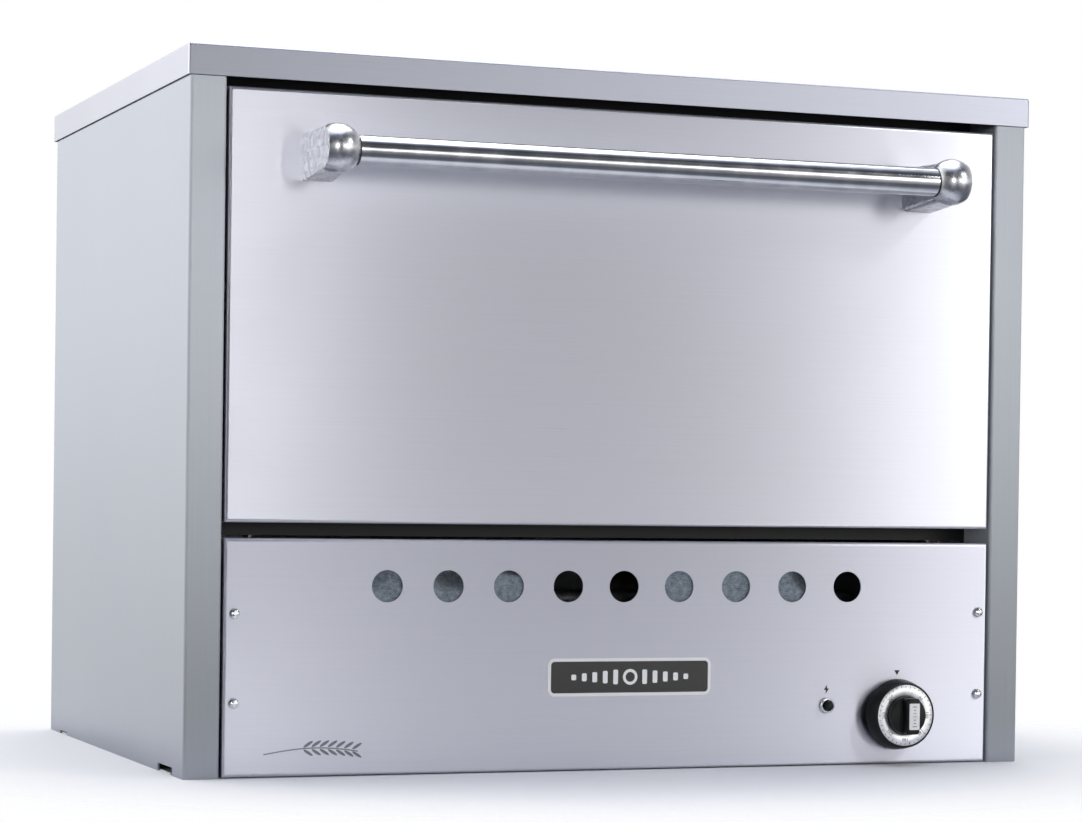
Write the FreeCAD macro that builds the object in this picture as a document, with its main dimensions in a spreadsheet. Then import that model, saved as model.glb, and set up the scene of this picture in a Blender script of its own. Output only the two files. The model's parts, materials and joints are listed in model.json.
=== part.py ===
import FreeCAD, Part
import Sketcher
import math
import os
import re

# A one-deck gas stone oven. Millimetres, +Z up, +X to the right of someone facing the door,
# the front towards -Y. The origin is on the floor, under the middle of the casing.

doc = FreeCAD.newDocument("deck_oven")

# Driving dimensions. Each one is a cell of the sheet, under the name given here.
SIZES = {
    # casing
    "width": 800, "depth": 545, "height": 620, "sheet": 1.5, "fit_gap": 0.2, "seat_gap": 0.3,
    "bend": 3, "post_width": 31.5, "post_depth": 49, "back_flange": 20,
    "lid_overhang": 2.5, "lid_drop": 26.5, "lid_bend": 2, "back_play": 2.25, "base_clear": 2,
    "front_notch_start": 38, "front_notch_length": 51, "front_notch_rise": 7,
    "rear_notch_start": 465, "rear_notch_length": 33, "rear_notch_rise": 3,
    # door
    "door_side_gap": 2, "door_low": 217.5, "door_top_gap": 7.5, "door_rim": 30, "door_thick": 45,
    "gasket_width": 10, "gasket_thick": 3, "gasket_inset": 4,
    "hinge_back": 18, "hinge_rise": 10.5, "pin_radius": 4.5, "pin_play": 0.5, "run_play": 0.05,
    "hinge_block_length": 34, "hinge_block_rise": 24, "hinge_block_deep": 26,
    "bracket_thick": 6.5, "bracket_deep": 28, "bracket_rise": 40, "bracket_gap": 1, "hinge_clear": 4,
    "door_wool_edge": 10, "head_clear": 2,
    "spring_wire": 1.25, "spring_pitch": 2.6, "spring_turns": 6, "spring_end_gap": 1,
    # handle
    "handle_radius": 12.7, "handle_wall": 1.5, "handle_rise": 313, "handle_reach": 60,
    "handle_socket": 12, "handle_sunk": 10,
    "arm_middle": 286.4, "arm_width": 30, "arm_reach": 81, "arm_foot_low": 21.5, "arm_foot_high": 19.5,
    "arm_nose_low": 19.5, "arm_nose_high": 22.5, "arm_nose_round": 20, "arm_edge": 4,
    "arm_screw_spread": 10, "arm_screw_radius": 3, "arm_screw_deep": 12, "arm_tap_spare": 2,
    "arm_head_radius": 6, "arm_head_high": 4.5,
    # control panel
    "panel_low": 1, "panel_high": 204, "panel_rim": 20,
    "air_hole_radius": 14, "air_hole_height": 163.5,
    "screw_inset": 43, "screw_low": 64, "screw_high": 140.2, "screw_radius": 2.2,
    "screw_head_radius": 4.6, "screw_head_high": 3.6, "screw_length": 26,
    "tab_width": 22, "tab_thick": 2, "tab_rise": 24, "tab_deep": 19, "tab_clear": 1,
    "badge_left": -72, "badge_wide": 157, "badge_low": 66.3, "badge_tall": 33.7, "badge_thick": 1.2,
    "badge_round": 6.5,
    # thermostat and knob
    "knob_across": 272, "knob_height": 46.5, "knob_gap": 4.5, "knob_skirt": 15.5,
    "knob_base_radius": 32.5, "knob_rim_radius": 30, "hub_radius": 19.2, "hub_high": 8,
    "grip_thick": 13, "grip_high": 10, "dial_radius": 29, "dial_thick": 1,
    "inlay_width": 10.2, "inlay_tall": 24, "inlay_thick": 0.8,
    "spindle_radius": 4, "spindle_front": 24, "spindle_back": 64, "spindle_play": 2, "spindle_end_gap": 1,
    "knob_travel": 4,
    "neck_radius": 10, "valve_front": 30, "valve_back": 95, "valve_half": 22, "valve_below": 24,
    "valve_above": 28.5, "chamber_radius": 9, "chamber_start": 36, "chamber_end": 60,
    "collar_start": 40, "collar_thick": 4,
    # igniter
    "igniter_across": 201.4, "igniter_height": 55.1, "button_radius": 4.6, "button_front": 9,
    "button_back": 2, "button_play": 0.3, "bezel_radius": 7.2, "bezel_high": 4,
    "igniter_radius": 8, "igniter_back": 45, "plunger_radius": 2.5, "plunger_back": 16,
    "plunger_bore_back": 20,
    # baking chamber and hearth
    "chamber_half": 330, "chamber_floor": 250, "chamber_top": 560, "chamber_rear": 72,
    "wall_low": 190, "sill_low": 206, "stone_thick": 20, "stone_front": 71, "stone_rear_slot": 28,
    "stone_gap": 1, "rail_leg": 20, "rail_thick": 2, "rail_drop": 25, "centre_rail": 30,
    "centre_rail_thick": 6,
    "flue_half": 80, "flue_low": 515, "flue_tall": 30,
    # insulation
    "wool_gap": 0.3, "side_wool_start": 62, "roof_wool_start": 72, "roof_wool_thick": 49,
    "front_wool_thick": 20, "front_wool_low": 125,
    # burners and gas
    "burner_across": 165, "burner_radius": 21, "burner_wall": 2, "burner_height": 150,
    "burner_start": 120, "burner_rear": 110, "crossbar_thick": 2, "crossbar_deep": 20,
    "crossbar_front": 150, "crossbar_rear": 150,
    "pipe_radius": 8.5, "pipe_wall": 2, "manifold_back": 75, "manifold_left": 190,
    "manifold_bend": 25, "injector_radius": 6, "injector_length": 28,
    "inlet_radius": 10.65, "inlet_bore": 8, "inlet_reach": 22, "inlet_play": 1.5,
    "thread_radius": 10.48, "thread_length": 18,
    "tube_radius": 1.5, "lead_radius": 2, "capillary_radius": 1, "capillary_play": 1.5,
    "pilot_tap_across": 14, "pilot_tap_back": 60, "pilot_tube_rise": 35, "pilot_tube_bend": 15,
    "pilot_tube_turn": 20, "lead_run": 50, "lead_first_bend": 25, "lead_bend": 22,
    "probe_lead_drop": 12, "probe_lead_back": 80, "probe_lead_bend": 25,
    "capillary_inset": 5.5, "capillary_out": 15, "capillary_rise": 14, "capillary_first_bend": 6,
    "capillary_bend": 8, "capillary_low_bend": 20,
    "bulb_radius": 3, "bulb_length": 150, "bulb_height": 520, "bulb_start": 80,
    "pilot_across": 125, "pilot_radius": 5, "pilot_low": 140, "pilot_tall": 38,
    "electrode_across": 112, "electrode_radius": 2, "probe_across": 138, "probe_radius": 2.5,
    "holder_half": 16, "holder_tall": 50, "holder_thick": 2,
}

sheet = doc.addObject("Spreadsheet::Sheet", "sizes")
for row, (name, number) in enumerate(SIZES.items(), start=1):
    sheet.set("A%d" % row, name)
    sheet.set("B%d" % row, str(number))
    sheet.setAlias("B%d" % row, name)
doc.recompute()

# Places used again and again, as expressions on the sheet.
HALF = "width / 2"
FRONT = "-depth / 2"
BACK = "depth / 2"
INSIDE = "width / 2 - sheet"
DOOR_HALF = "width / 2 - post_width - door_side_gap"
DOOR_HIGH = "height - lid_drop - door_top_gap"
LID_UNDER = "height - sheet"
HINGE_Y = "-depth / 2 + hinge_back"
HINGE_Z = "door_low + hinge_rise"
HANDLE_Y = "-depth / 2 - handle_reach"
HANDLE_Z = "door_low + handle_rise"
FRAME = "-depth / 2 + post_depth"
FRAME_BACK = "-depth / 2 + post_depth + sheet"
REAR_WALL = "depth / 2 - chamber_rear"
STONE_LOW = "chamber_floor - stone_thick"
AIR_HOLES = (-221.1, -165.3, -109.3, -53.3, 0, 53.3, 109.3, 165.3, 221.1)

nodes = []
ALIAS = re.compile("|".join(sorted(SIZES, key=len, reverse=True)))


def cells(text):
    """The same expression with every name pointing at its cell of the sheet."""
    return ALIAS.sub(lambda found: "sizes." + found.group(0), str(text))


def minus(text):
    return "-(%s)" % text


def plus(first, second):
    return "(%s) + (%s)" % (first, second)


def less(first, second):
    return "(%s) - (%s)" % (first, second)


def value(name):
    return float(sheet.get(name))


def bind(obj, prop, text):
    obj.setExpression(prop, cells(text))


def node(obj, label):
    """Marks a finished sub-part. Its label names its file."""
    obj.Label = label
    nodes.append(obj)
    return obj


# ---- Part primitives -------------------------------------------------------------------------

def block(name, across, along, up):
    """A box between low and high places on X, Y and Z."""
    box = doc.addObject("Part::Box", name)
    spans = (("x", "Length", across), ("y", "Width", along), ("z", "Height", up))
    for letter, prop, (low, high) in spans:
        bind(box, prop, less(high, low))
        bind(box, "Placement.Base." + letter, low)
    return box


TURNS = {
    "x": FreeCAD.Rotation(FreeCAD.Vector(0, 1, 0), 90),
    "y": FreeCAD.Rotation(FreeCAD.Vector(1, 0, 0), -90),
    "z": FreeCAD.Rotation(),
}


def place_round(obj, axis, centre, low):
    """Stands a round primitive along an axis, from low upwards. centre is the other two places."""
    obj.Placement = FreeCAD.Placement(FreeCAD.Vector(), TURNS[axis])
    others = [letter for letter in "xyz" if letter != axis]
    bind(obj, "Placement.Base." + axis, low)
    for letter, text in zip(others, centre):
        bind(obj, "Placement.Base." + letter, text)


def rod(name, axis, centre, radius, low, high):
    cylinder = doc.addObject("Part::Cylinder", name)
    bind(cylinder, "Radius", radius)
    bind(cylinder, "Height", less(high, low))
    place_round(cylinder, axis, centre, low)
    return cylinder


def cut(name, base, tool):
    result = doc.addObject("Part::Cut", name)
    result.Base = base
    result.Tool = tool
    return result


def fused(name, pieces):
    result = doc.addObject("Part::MultiFuse", name)
    result.Shapes = pieces
    return result


def group(name, pieces):
    """Separate solids that share one sub-part."""
    result = doc.addObject("Part::Compound", name)
    result.Links = pieces
    return result


def hollow_rod(name, axis, centre, outer, inner, low, high):
    return cut(name, rod(name + "_outside", axis, centre, outer, low, high),
               rod(name + "_bore", axis, centre, inner, low, high))


# ---- Sketched bodies -------------------------------------------------------------------------

def new_body(name):
    return doc.addObject("PartDesign::Body", name)


def sketch_on(body, name, plane, offset):
    """An empty sketch on one of the body's own planes, offset along its normal."""
    sketch = body.newObject("Sketcher::SketchObject", name)
    plane_object = [f for f in body.Origin.OriginFeatures if f.Role == plane][0]
    sketch.AttachmentSupport = [(plane_object, "")]
    sketch.MapMode = "FlatFace"
    bind(sketch, "AttachmentOffset.Base.z", offset)
    return sketch


def pin_point(sketch, geometry, place, point):
    """Ties a point of the sketch to two expressions, measured from the origin."""
    here = sketch.getPoint(geometry, place)
    for kind, text, now in (("DistanceX", point[0], here.x), ("DistanceY", point[1], here.y)):
        number = sketch.addConstraint(Sketcher.Constraint(kind, -1, 1, geometry, place, now))
        bind(sketch, "Constraints[%d]" % number, text)


def draw_outline(sketch, points):
    """A closed outline of straight lines through the points."""
    count = len(points)
    first = sketch.GeometryCount
    start = [FreeCAD.Vector(50 * math.cos(2 * math.pi * i / count) + 60,
                            50 * math.sin(2 * math.pi * i / count) + 60, 0) for i in range(count)]
    for i in range(count):
        sketch.addGeometry(Part.LineSegment(start[i], start[(i + 1) % count]), False)
    for i in range(count):
        after = first + (i + 1) % count
        sketch.addConstraint(Sketcher.Constraint("Coincident", first + i, 2, after, 1))
    for i in range(count):
        pin_point(sketch, first + i, 1, points[i])


def draw_circle(sketch, centre, radius):
    number = sketch.addGeometry(Part.Circle(FreeCAD.Vector(7, 7, 0), FreeCAD.Vector(0, 0, 1), 5), False)
    pin_point(sketch, number, 3, centre)
    tie = sketch.addConstraint(Sketcher.Constraint("Radius", number, 5))
    bind(sketch, "Constraints[%d]" % tie, radius)


def rectangle(across, up):
    return [(across[0], up[0]), (across[1], up[0]), (across[1], up[1]), (across[0], up[1])]


def pad(body, name, plane, outline, low, high):
    """Pads an outline between two places along the plane's own direction."""
    start = minus(high) if plane == "XZ_Plane" else low
    sketch = sketch_on(body, name + "_sketch", plane, start)
    draw_outline(sketch, outline)
    feature = body.newObject("PartDesign::Pad", name + "_pad")
    feature.Profile = sketch
    bind(feature, "Length", less(high, low))
    doc.recompute()
    return feature


def pocket(body, name, plane, low, high, outlines=(), circles=()):
    """Cuts outlines and circles out of the body between two places, and checks that they cut."""
    before = body.Shape.Volume
    end = minus(low) if plane == "XZ_Plane" else high
    sketch = sketch_on(body, name + "_sketch", plane, end)
    for outline in outlines:
        draw_outline(sketch, outline)
    for centre, radius in circles:
        draw_circle(sketch, centre, radius)
    feature = body.newObject("PartDesign::Pocket", name + "_pocket")
    feature.Profile = sketch
    bind(feature, "Length", less(high, low))
    doc.recompute()
    if body.Shape.Volume >= before:
        raise ValueError(name + " cuts nothing")
    return feature


def edges_where(feature, test):
    """Names of the straight edges whose two ends pass the test."""
    names = []
    for number, edge in enumerate(feature.Shape.Edges, start=1):
        ends = [vertex.Point for vertex in edge.Vertexes]
        if len(ends) == 2 and test(ends[0], ends[1]):
            names.append("Edge%d" % number)
    return names


def round_edges(body, feature, name, radius, test):
    """Rounds the edges that pass the test, with a radius from the sheet."""
    fillet = body.newObject("PartDesign::Fillet", name + "_fillet")
    fillet.Base = (feature, edges_where(feature, test))
    bind(fillet, "Radius", radius)
    doc.recompute()
    return fillet


def near(first, second):
    return abs(first - second) < 0.01


# ---- Swept tubes -----------------------------------------------------------------------------

def tube_along(label, points, radii, outer):
    """A solid tube along straight runs joined by tangent arcs, one radius for each inner point."""
    places = [FreeCAD.Vector(*point) for point in points]
    edges = []
    here = places[0]
    for i, radius in enumerate(radii, start=1):
        back = (places[i - 1] - places[i]).normalize()
        ahead = (places[i + 1] - places[i]).normalize()
        half_turn = (math.pi - back.getAngle(ahead)) / 2
        reach = radius * math.tan(half_turn)
        arc_start = places[i] + back * reach
        arc_end = places[i] + ahead * reach
        middle = (back + ahead).normalize()
        arc_middle = places[i] + middle * (radius / math.cos(half_turn) - radius)
        edges.append(Part.LineSegment(here, arc_start).toShape())
        edges.append(Part.Arc(arc_start, arc_middle, arc_end).toShape())
        here = arc_end
    edges.append(Part.LineSegment(here, places[-1]).toShape())
    path = Part.Wire(edges)
    along = (places[1] - places[0]).normalize()
    section = Part.Wire([Part.Circle(places[0], along, outer).toShape()])
    solid = path.makePipeShell([section], True, True)
    length = sum(edge.Length for edge in edges)
    expected = math.pi * outer * outer * length
    if abs(solid.Volume - expected) > 0.01 * expected:
        raise ValueError(label + " has the wrong volume")
    print(label, "length", round(length, 1), "radii", radii)
    feature = doc.addObject("Part::Feature", label)
    feature.Shape = solid
    return node(feature, label)


# ---- Casing ----------------------------------------------------------------------------------

def side_panel(label, side):
    """One folded side: the wall, a post round the front corner and a flange at the back."""
    def across(text):
        return text if side > 0 else minus(text)

    post_edge = less(HALF, "post_width")
    outline = [
        (across(HALF), FRONT), (across(HALF), BACK),
        (across(less(HALF, "back_flange")), BACK),
        (across(less(HALF, "back_flange")), less(BACK, "sheet")),
        (across(INSIDE), less(BACK, "sheet")), (across(INSIDE), plus(FRONT, "sheet")),
        (across(plus(post_edge, "sheet")), plus(FRONT, "sheet")),
        (across(plus(post_edge, "sheet")), FRAME), (across(post_edge), FRAME),
        (across(post_edge), FRONT),
    ]
    body = new_body(label)
    wall = pad(body, label, "XY_Plane", outline, "0", LID_UNDER)
    half, front, back = value("width") / 2, -value("depth") / 2, value("depth") / 2
    edge, thick = half - value("post_width"), value("sheet")
    outer = [(half, front), (half, back), (edge, front)]
    inner = [(half - thick, front + thick), (half - thick, back - thick), (edge + thick, front + thick)]

    def stands_at(spots):
        def test(one, two):
            upright = near(one.x, two.x) and near(one.y, two.y)
            return upright and any(near(abs(one.x), x) and near(one.y, y) for x, y in spots)
        return test

    rounded = round_edges(body, wall, label + "_outer", "bend", stands_at(outer))
    round_edges(body, rounded, label + "_inner", "bend - sheet", stands_at(inner))
    low, high = (INSIDE, HALF) if side > 0 else (minus(HALF), minus(INSIDE))
    first = plus(FRONT, "front_notch_start")
    second = plus(FRONT, "rear_notch_start")
    notches = [
        rectangle((first, plus(first, "front_notch_length")), ("0", "front_notch_rise")),
        rectangle((second, plus(second, "rear_notch_length")), ("0", "rear_notch_rise")),
    ]
    pocket(body, label + "_notches", "YZ_Plane", low, high, outlines=notches)
    if side > 0:
        low, high = post_edge, plus(post_edge, "sheet")
    else:
        low, high = minus(plus(post_edge, "sheet")), minus(post_edge)
    pin_hole = ((HINGE_Y, HINGE_Z), "pin_radius + pin_play")
    pocket(body, label + "_pin_hole", "YZ_Plane", low, high, circles=[pin_hole])
    return node(body, label)


def top_cover():
    """The lid, a shallow pan with a skirt that laps over the sides."""
    body = new_body("top_cover")
    out = plus(HALF, "lid_overhang")
    ahead = less(FRONT, "lid_overhang")
    behind = plus(BACK, "lid_overhang")
    outline = rectangle((minus(out), out), (ahead, behind))
    cover = pad(body, "top_cover", "XY_Plane", outline, "height - lid_drop", "height")
    top = value("height")
    bottom = top - value("lid_drop")
    rounded = round_edges(body, cover, "top_cover", "lid_bend",
                          lambda one, two: not (near(one.z, bottom) and near(two.z, bottom)))
    inner = rectangle((minus(less(out, "sheet")), less(out, "sheet")),
                      (plus(ahead, "sheet"), less(behind, "sheet")))
    pocket(body, "top_cover_inside", "XY_Plane", "height - lid_drop", "height - sheet", outlines=[inner])
    return node(body, "top_cover")


def back_panel():
    body = new_body("back_panel")
    half = less(INSIDE, "back_play")
    outline = rectangle((minus(half), half), ("sheet", LID_UNDER))
    pad(body, "back_panel", "XZ_Plane", outline, "depth / 2 - 2 * sheet", less(BACK, "sheet"))
    flue = rectangle(("-flue_half + sheet", "flue_half - sheet"),
                     ("flue_low + sheet", "flue_low + flue_tall - sheet"))
    inlet = (("knob_across", "knob_height"), "inlet_radius + inlet_play")
    pocket(body, "back_panel_openings", "XZ_Plane", "depth / 2 - 2 * sheet", less(BACK, "sheet"),
           outlines=[flue], circles=[inlet])
    return node(body, "back_panel")


def base_pan():
    """The floor of the casing, narrower between the two posts."""
    body = new_body("base_pan")
    wide = less(INSIDE, "fit_gap")
    narrow = "width / 2 - post_width - fit_gap"
    start = plus(FRONT, "panel_rim + base_clear")
    step = plus(FRAME, "fit_gap")
    end = "depth / 2 - 2 * sheet"
    outline = [
        (minus(narrow), start), (narrow, start), (narrow, step), (wide, step),
        (wide, end), (minus(wide), end), (minus(wide), step), (minus(narrow), step),
    ]
    pad(body, "base_pan", "XY_Plane", outline, "0", "sheet")
    return node(body, "base_pan")


def control_panel():
    """The lower front, a pan with folded rims, nine air holes and the holes for the controls."""
    body = new_body("control_panel")
    outline = rectangle((minus(DOOR_HALF), DOOR_HALF), ("panel_low", "panel_high"))
    plate = pad(body, "control_panel", "XZ_Plane", outline, FRONT, plus(FRONT, "panel_rim"))
    front = -value("depth") / 2
    round_edges(body, plate, "control_panel", "bend",
                lambda one, two: near(one.y, front) and near(two.y, front))
    inner = rectangle((minus(less(DOOR_HALF, "sheet")), less(DOOR_HALF, "sheet")),
                      ("panel_low + sheet", "panel_high - sheet"))
    pocket(body, "control_panel_inside", "XZ_Plane", plus(FRONT, "sheet"), plus(FRONT, "panel_rim"),
           outlines=[inner])
    circles = [((str(x), "air_hole_height"), "air_hole_radius") for x in AIR_HOLES]
    circles.append((("knob_across", "knob_height"), "spindle_radius + spindle_play"))
    circles.append((("igniter_across", "igniter_height"), "button_radius + button_play"))
    for x, z in screw_spots():
        circles.append(((x, z), "screw_radius + seat_gap"))
    pocket(body, "control_panel_holes", "XZ_Plane", FRONT, plus(FRONT, "sheet"), circles=circles)
    return node(body, "control_panel")


def screw_spots():
    side = less(HALF, "screw_inset")
    return [(x, z) for x in (minus(side), side) for z in ("screw_low", "screw_high")]


def panel_screws_and_tabs():
    """Four pan-head screws, and the welded tabs behind the panel that they run into."""
    screws, tabs = [], []
    head_front = less(FRONT, "screw_head_high")
    tab_start = plus(FRONT, "panel_rim + tab_clear")
    edge = less(HALF, "post_width")
    for number, (x, z) in enumerate(screw_spots()):
        name = "panel_screw_%d" % number
        head = rod(name + "_head", "y", (x, z), "screw_head_radius", head_front, FRONT)
        shank = rod(name + "_shank", "y", (x, z), "screw_radius", FRONT, plus(FRONT, "screw_length"))
        screws.append(fused(name, [head, shank]))
        right = number > 1
        span = (less(edge, "tab_width"), edge) if right else (minus(edge), minus(less(edge, "tab_width")))
        side = (less(edge, "tab_thick"), edge) if right else (minus(edge), minus(less(edge, "tab_thick")))
        up = (less(z, "tab_rise / 2"), plus(z, "tab_rise / 2"))
        name = "panel_tab_%d" % number
        face = block(name + "_face", span, (tab_start, plus(tab_start, "tab_thick")), up)
        leg = block(name + "_leg", side, (tab_start, plus(tab_start, "tab_deep")), up)
        hole = rod(name + "_hole", "y", (x, z), "screw_radius + run_play", tab_start,
                   plus(tab_start, "tab_thick"))
        tabs.append(cut(name, fused(name + "_angle", [face, leg]), hole))
    node(group("screws", screws), "control_panel_screws")
    node(group("tabs", tabs), "panel_tabs")


def badge():
    body = new_body("badge_plate")
    outline = rectangle(("badge_left", "badge_left + badge_wide"), ("badge_low", "badge_low + badge_tall"))
    plate = pad(body, "badge_plate", "XZ_Plane", outline, less(FRONT, "badge_thick"), FRONT)
    round_edges(body, plate, "badge_plate", "badge_round",
                lambda one, two: near(one.x, two.x) and near(one.z, two.z))
    return node(body, "badge_plate")


# ---- Baking chamber --------------------------------------------------------------------------

def front_frame():
    """The rails and stiles that frame the mouth of the chamber, behind the door."""
    wide = less(INSIDE, "fit_gap")
    body = new_body("door_head_rail")
    rail = [(FRAME, "chamber_top"), (FRAME_BACK, "chamber_top"), (FRAME_BACK, "height - 2 * sheet"),
            (plus(FRAME, "rail_leg"), "height - 2 * sheet"), (plus(FRAME, "rail_leg"), LID_UNDER),
            (FRAME, LID_UNDER)]
    pad(body, "door_head_rail", "YZ_Plane", rail, minus(wide), wide)
    node(body, "door_head_rail")
    inner = less("chamber_half", "fit_gap")
    face = block("sill_face", (minus(wide), wide), (FRAME, FRAME_BACK), ("sill_low", "chamber_floor"))
    ledge = block("sill_ledge", (minus(inner), inner), (FRAME, plus(FRAME, "rail_leg")),
                  ("chamber_floor - sheet", "chamber_floor"))
    node(fused("sill", [face, ledge]), "hearth_sill_rail")
    up = ("chamber_floor", "chamber_top")
    left = block("stile_left", (minus(wide), minus("chamber_half")), (FRAME, FRAME_BACK), up)
    right = block("stile_right", ("chamber_half", wide), (FRAME, FRAME_BACK), up)
    node(group("stiles", [left, right]), "frame_stiles")


def chamber():
    along = (FRAME_BACK, REAR_WALL)
    out = plus("chamber_half", "sheet")
    up = ("wall_low", "chamber_top")
    wall = block("chamber_left", (minus(out), minus("chamber_half")), along, up)
    node(wall, "chamber_left_wall")
    wall = block("chamber_right", ("chamber_half", out), along, up)
    hole = rod("capillary_hole", "x", (plus(FRAME_BACK, "capillary_inset"), "bulb_height"),
               "capillary_radius + capillary_play", "chamber_half", out)
    node(cut("chamber_right_pierced", wall, hole), "chamber_right_wall")
    wall = block("chamber_rear_plate", (minus("chamber_half"), "chamber_half"),
                 (less(REAR_WALL, "sheet"), REAR_WALL), up)
    flue = block("chamber_rear_flue", ("-flue_half + sheet", "flue_half - sheet"),
                 (less(REAR_WALL, "sheet"), REAR_WALL),
                 ("flue_low + sheet", "flue_low + flue_tall - sheet"))
    node(cut("chamber_rear", wall, flue), "chamber_back_wall")
    roof = block("roof", (minus(out), out), along, ("chamber_top", plus("chamber_top", "sheet")))
    node(roof, "chamber_roof")
    duct = cut("duct", block("duct_outside", ("-flue_half", "flue_half"),
                             (REAR_WALL, "depth / 2 - 2 * sheet"), ("flue_low", "flue_low + flue_tall")),
               block("duct_inside", ("-flue_half + sheet", "flue_half - sheet"),
                     (REAR_WALL, "depth / 2 - 2 * sheet"),
                     ("flue_low + sheet", "flue_low + flue_tall - sheet")))
    node(duct, "flue_duct")


def hearth():
    """Two stones on angle rails at the sides and a bar down the middle."""
    end = less(REAR_WALL, "sheet")
    stone_end = less(REAR_WALL, "stone_rear_slot")
    rails = []
    for name, side in (("left", -1), ("right", 1)):
        def span(low, high):
            return (low, high) if side > 0 else (minus(high), minus(low))
        flat = block("rail_flat_" + name, span(less("chamber_half", "rail_leg"), "chamber_half"),
                     (FRAME_BACK, end), (less(STONE_LOW, "rail_thick"), STONE_LOW))
        leg = block("rail_leg_" + name, span(less("chamber_half", "rail_thick"), "chamber_half"),
                    (FRAME_BACK, end), (less(STONE_LOW, "rail_drop"), STONE_LOW))
        rails.append(fused("rail_" + name, [flat, leg]))
        stone = block("stone_" + name, span("stone_gap / 2", less("chamber_half", "stone_gap")),
                      (plus(FRONT, "stone_front"), stone_end), (STONE_LOW, "chamber_floor"))
        node(stone, "hearth_stone_" + name)
    rails.append(block("rail_middle", ("-centre_rail / 2", "centre_rail / 2"), (FRAME_BACK, end),
                       (less(STONE_LOW, "centre_rail_thick"), STONE_LOW)))
    node(group("rails", rails), "stone_support_rails")


def insulation():
    """Ceramic wool round the chamber, and the two pads behind the air holes."""
    gap = "wool_gap"
    inner = plus(plus("chamber_half", "sheet"), gap)
    sides = []
    for name, side in (("left", -1), ("right", 1)):
        low, high = (inner, less(INSIDE, gap)) if side > 0 else (minus(less(INSIDE, gap)), minus(inner))
        sides.append(block("side_wool_" + name, (low, high), (plus(FRONT, "side_wool_start"), REAR_WALL),
                           ("wall_low", "chamber_top")))
    node(group("side_wool", sides), "side_insulation")
    roof = block("roof_wool", (minus("chamber_half"), "chamber_half"),
                 (plus(FRONT, "roof_wool_start"), less(REAR_WALL, gap)),
                 (plus("chamber_top", "sheet + seat_gap"),
                  plus("chamber_top", "sheet + seat_gap + roof_wool_thick")))
    node(roof, "top_insulation")
    along = (plus(REAR_WALL, "seat_gap"), "depth / 2 - 2 * sheet - seat_gap")
    under, over = "flue_low - seat_gap", "flue_low + flue_tall + seat_gap"
    whole = (minus("chamber_half"), "chamber_half")
    beside = "flue_half + seat_gap"
    pieces = [
        block("rear_wool_low", whole, along, ("wall_low", under)),
        block("rear_wool_high", whole, along, (over, plus("chamber_top", "roof_wool_thick"))),
        block("rear_wool_left", (minus("chamber_half"), minus(beside)), along, (under, over)),
        block("rear_wool_right", (beside, "chamber_half"), along, (under, over)),
    ]
    node(group("rear_wool", pieces), "back_insulation")
    up = ("front_wool_low", "panel_high - sheet - seat_gap")
    along = (plus(FRONT, "sheet + seat_gap"), plus(FRONT, "sheet + seat_gap + front_wool_thick"))
    spacing = AIR_HOLES[6] - AIR_HOLES[5]
    pads = []
    for name, first, last in (("left", 0, 2), ("right", 5, 7)):
        span = (str(AIR_HOLES[first] - spacing / 2), str(AIR_HOLES[last] + spacing / 2))
        pads.append(block("front_wool_" + name, span, along, up))
    node(group("front_pads", pads), "front_insulation_pads")


# ---- Burners and gas -------------------------------------------------------------------------

def burners():
    start, end = plus(FRONT, "burner_start"), less(BACK, "burner_rear")
    injectors = []
    for name, x in (("left", minus("burner_across")), ("right", "burner_across")):
        centre = (x, "burner_height")
        tube = rod("burner_tube_" + name, "y", centre, "burner_radius", start, end)
        bore = rod("burner_bore_" + name, "y", centre, "burner_radius - burner_wall", start,
                   less(end, "burner_wall"))
        node(cut("burner_shell_" + name, tube, bore), "burner_" + name)
        first = plus(plus(FRONT, "manifold_back"), "pipe_radius + fit_gap")
        injectors.append(rod("injector_" + name, "y", centre, "injector_radius", first,
                             plus(first, "injector_length")))
    node(group("injector_pair", injectors), "burner_injectors")
    bars = []
    top = "burner_height - burner_radius - seat_gap"
    front_bar = plus(FRONT, "crossbar_front")
    rear_bar = less(BACK, "crossbar_rear")
    for name, y in (("front", front_bar), ("rear", rear_bar)):
        across = (minus("chamber_half + sheet"), "chamber_half + sheet")
        bar = block("crossbar_" + name, across, (y, plus(y, "crossbar_deep")),
                    (less(top, "crossbar_thick"), top))
        posts = []
        for side, (low, high) in (("left", (minus(less(INSIDE, "fit_gap")), minus("chamber_half"))),
                                  ("right", ("chamber_half", less(INSIDE, "fit_gap")))):
            posts.append(block("crossbar_%s_%s" % (name, side), (low, high), (y, plus(y, "crossbar_deep")),
                               (less(top, "crossbar_thick"), top)))
        bars.append(fused("bar_" + name, [bar] + posts))
    node(group("crossbars", bars), "burner_supports")


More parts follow.
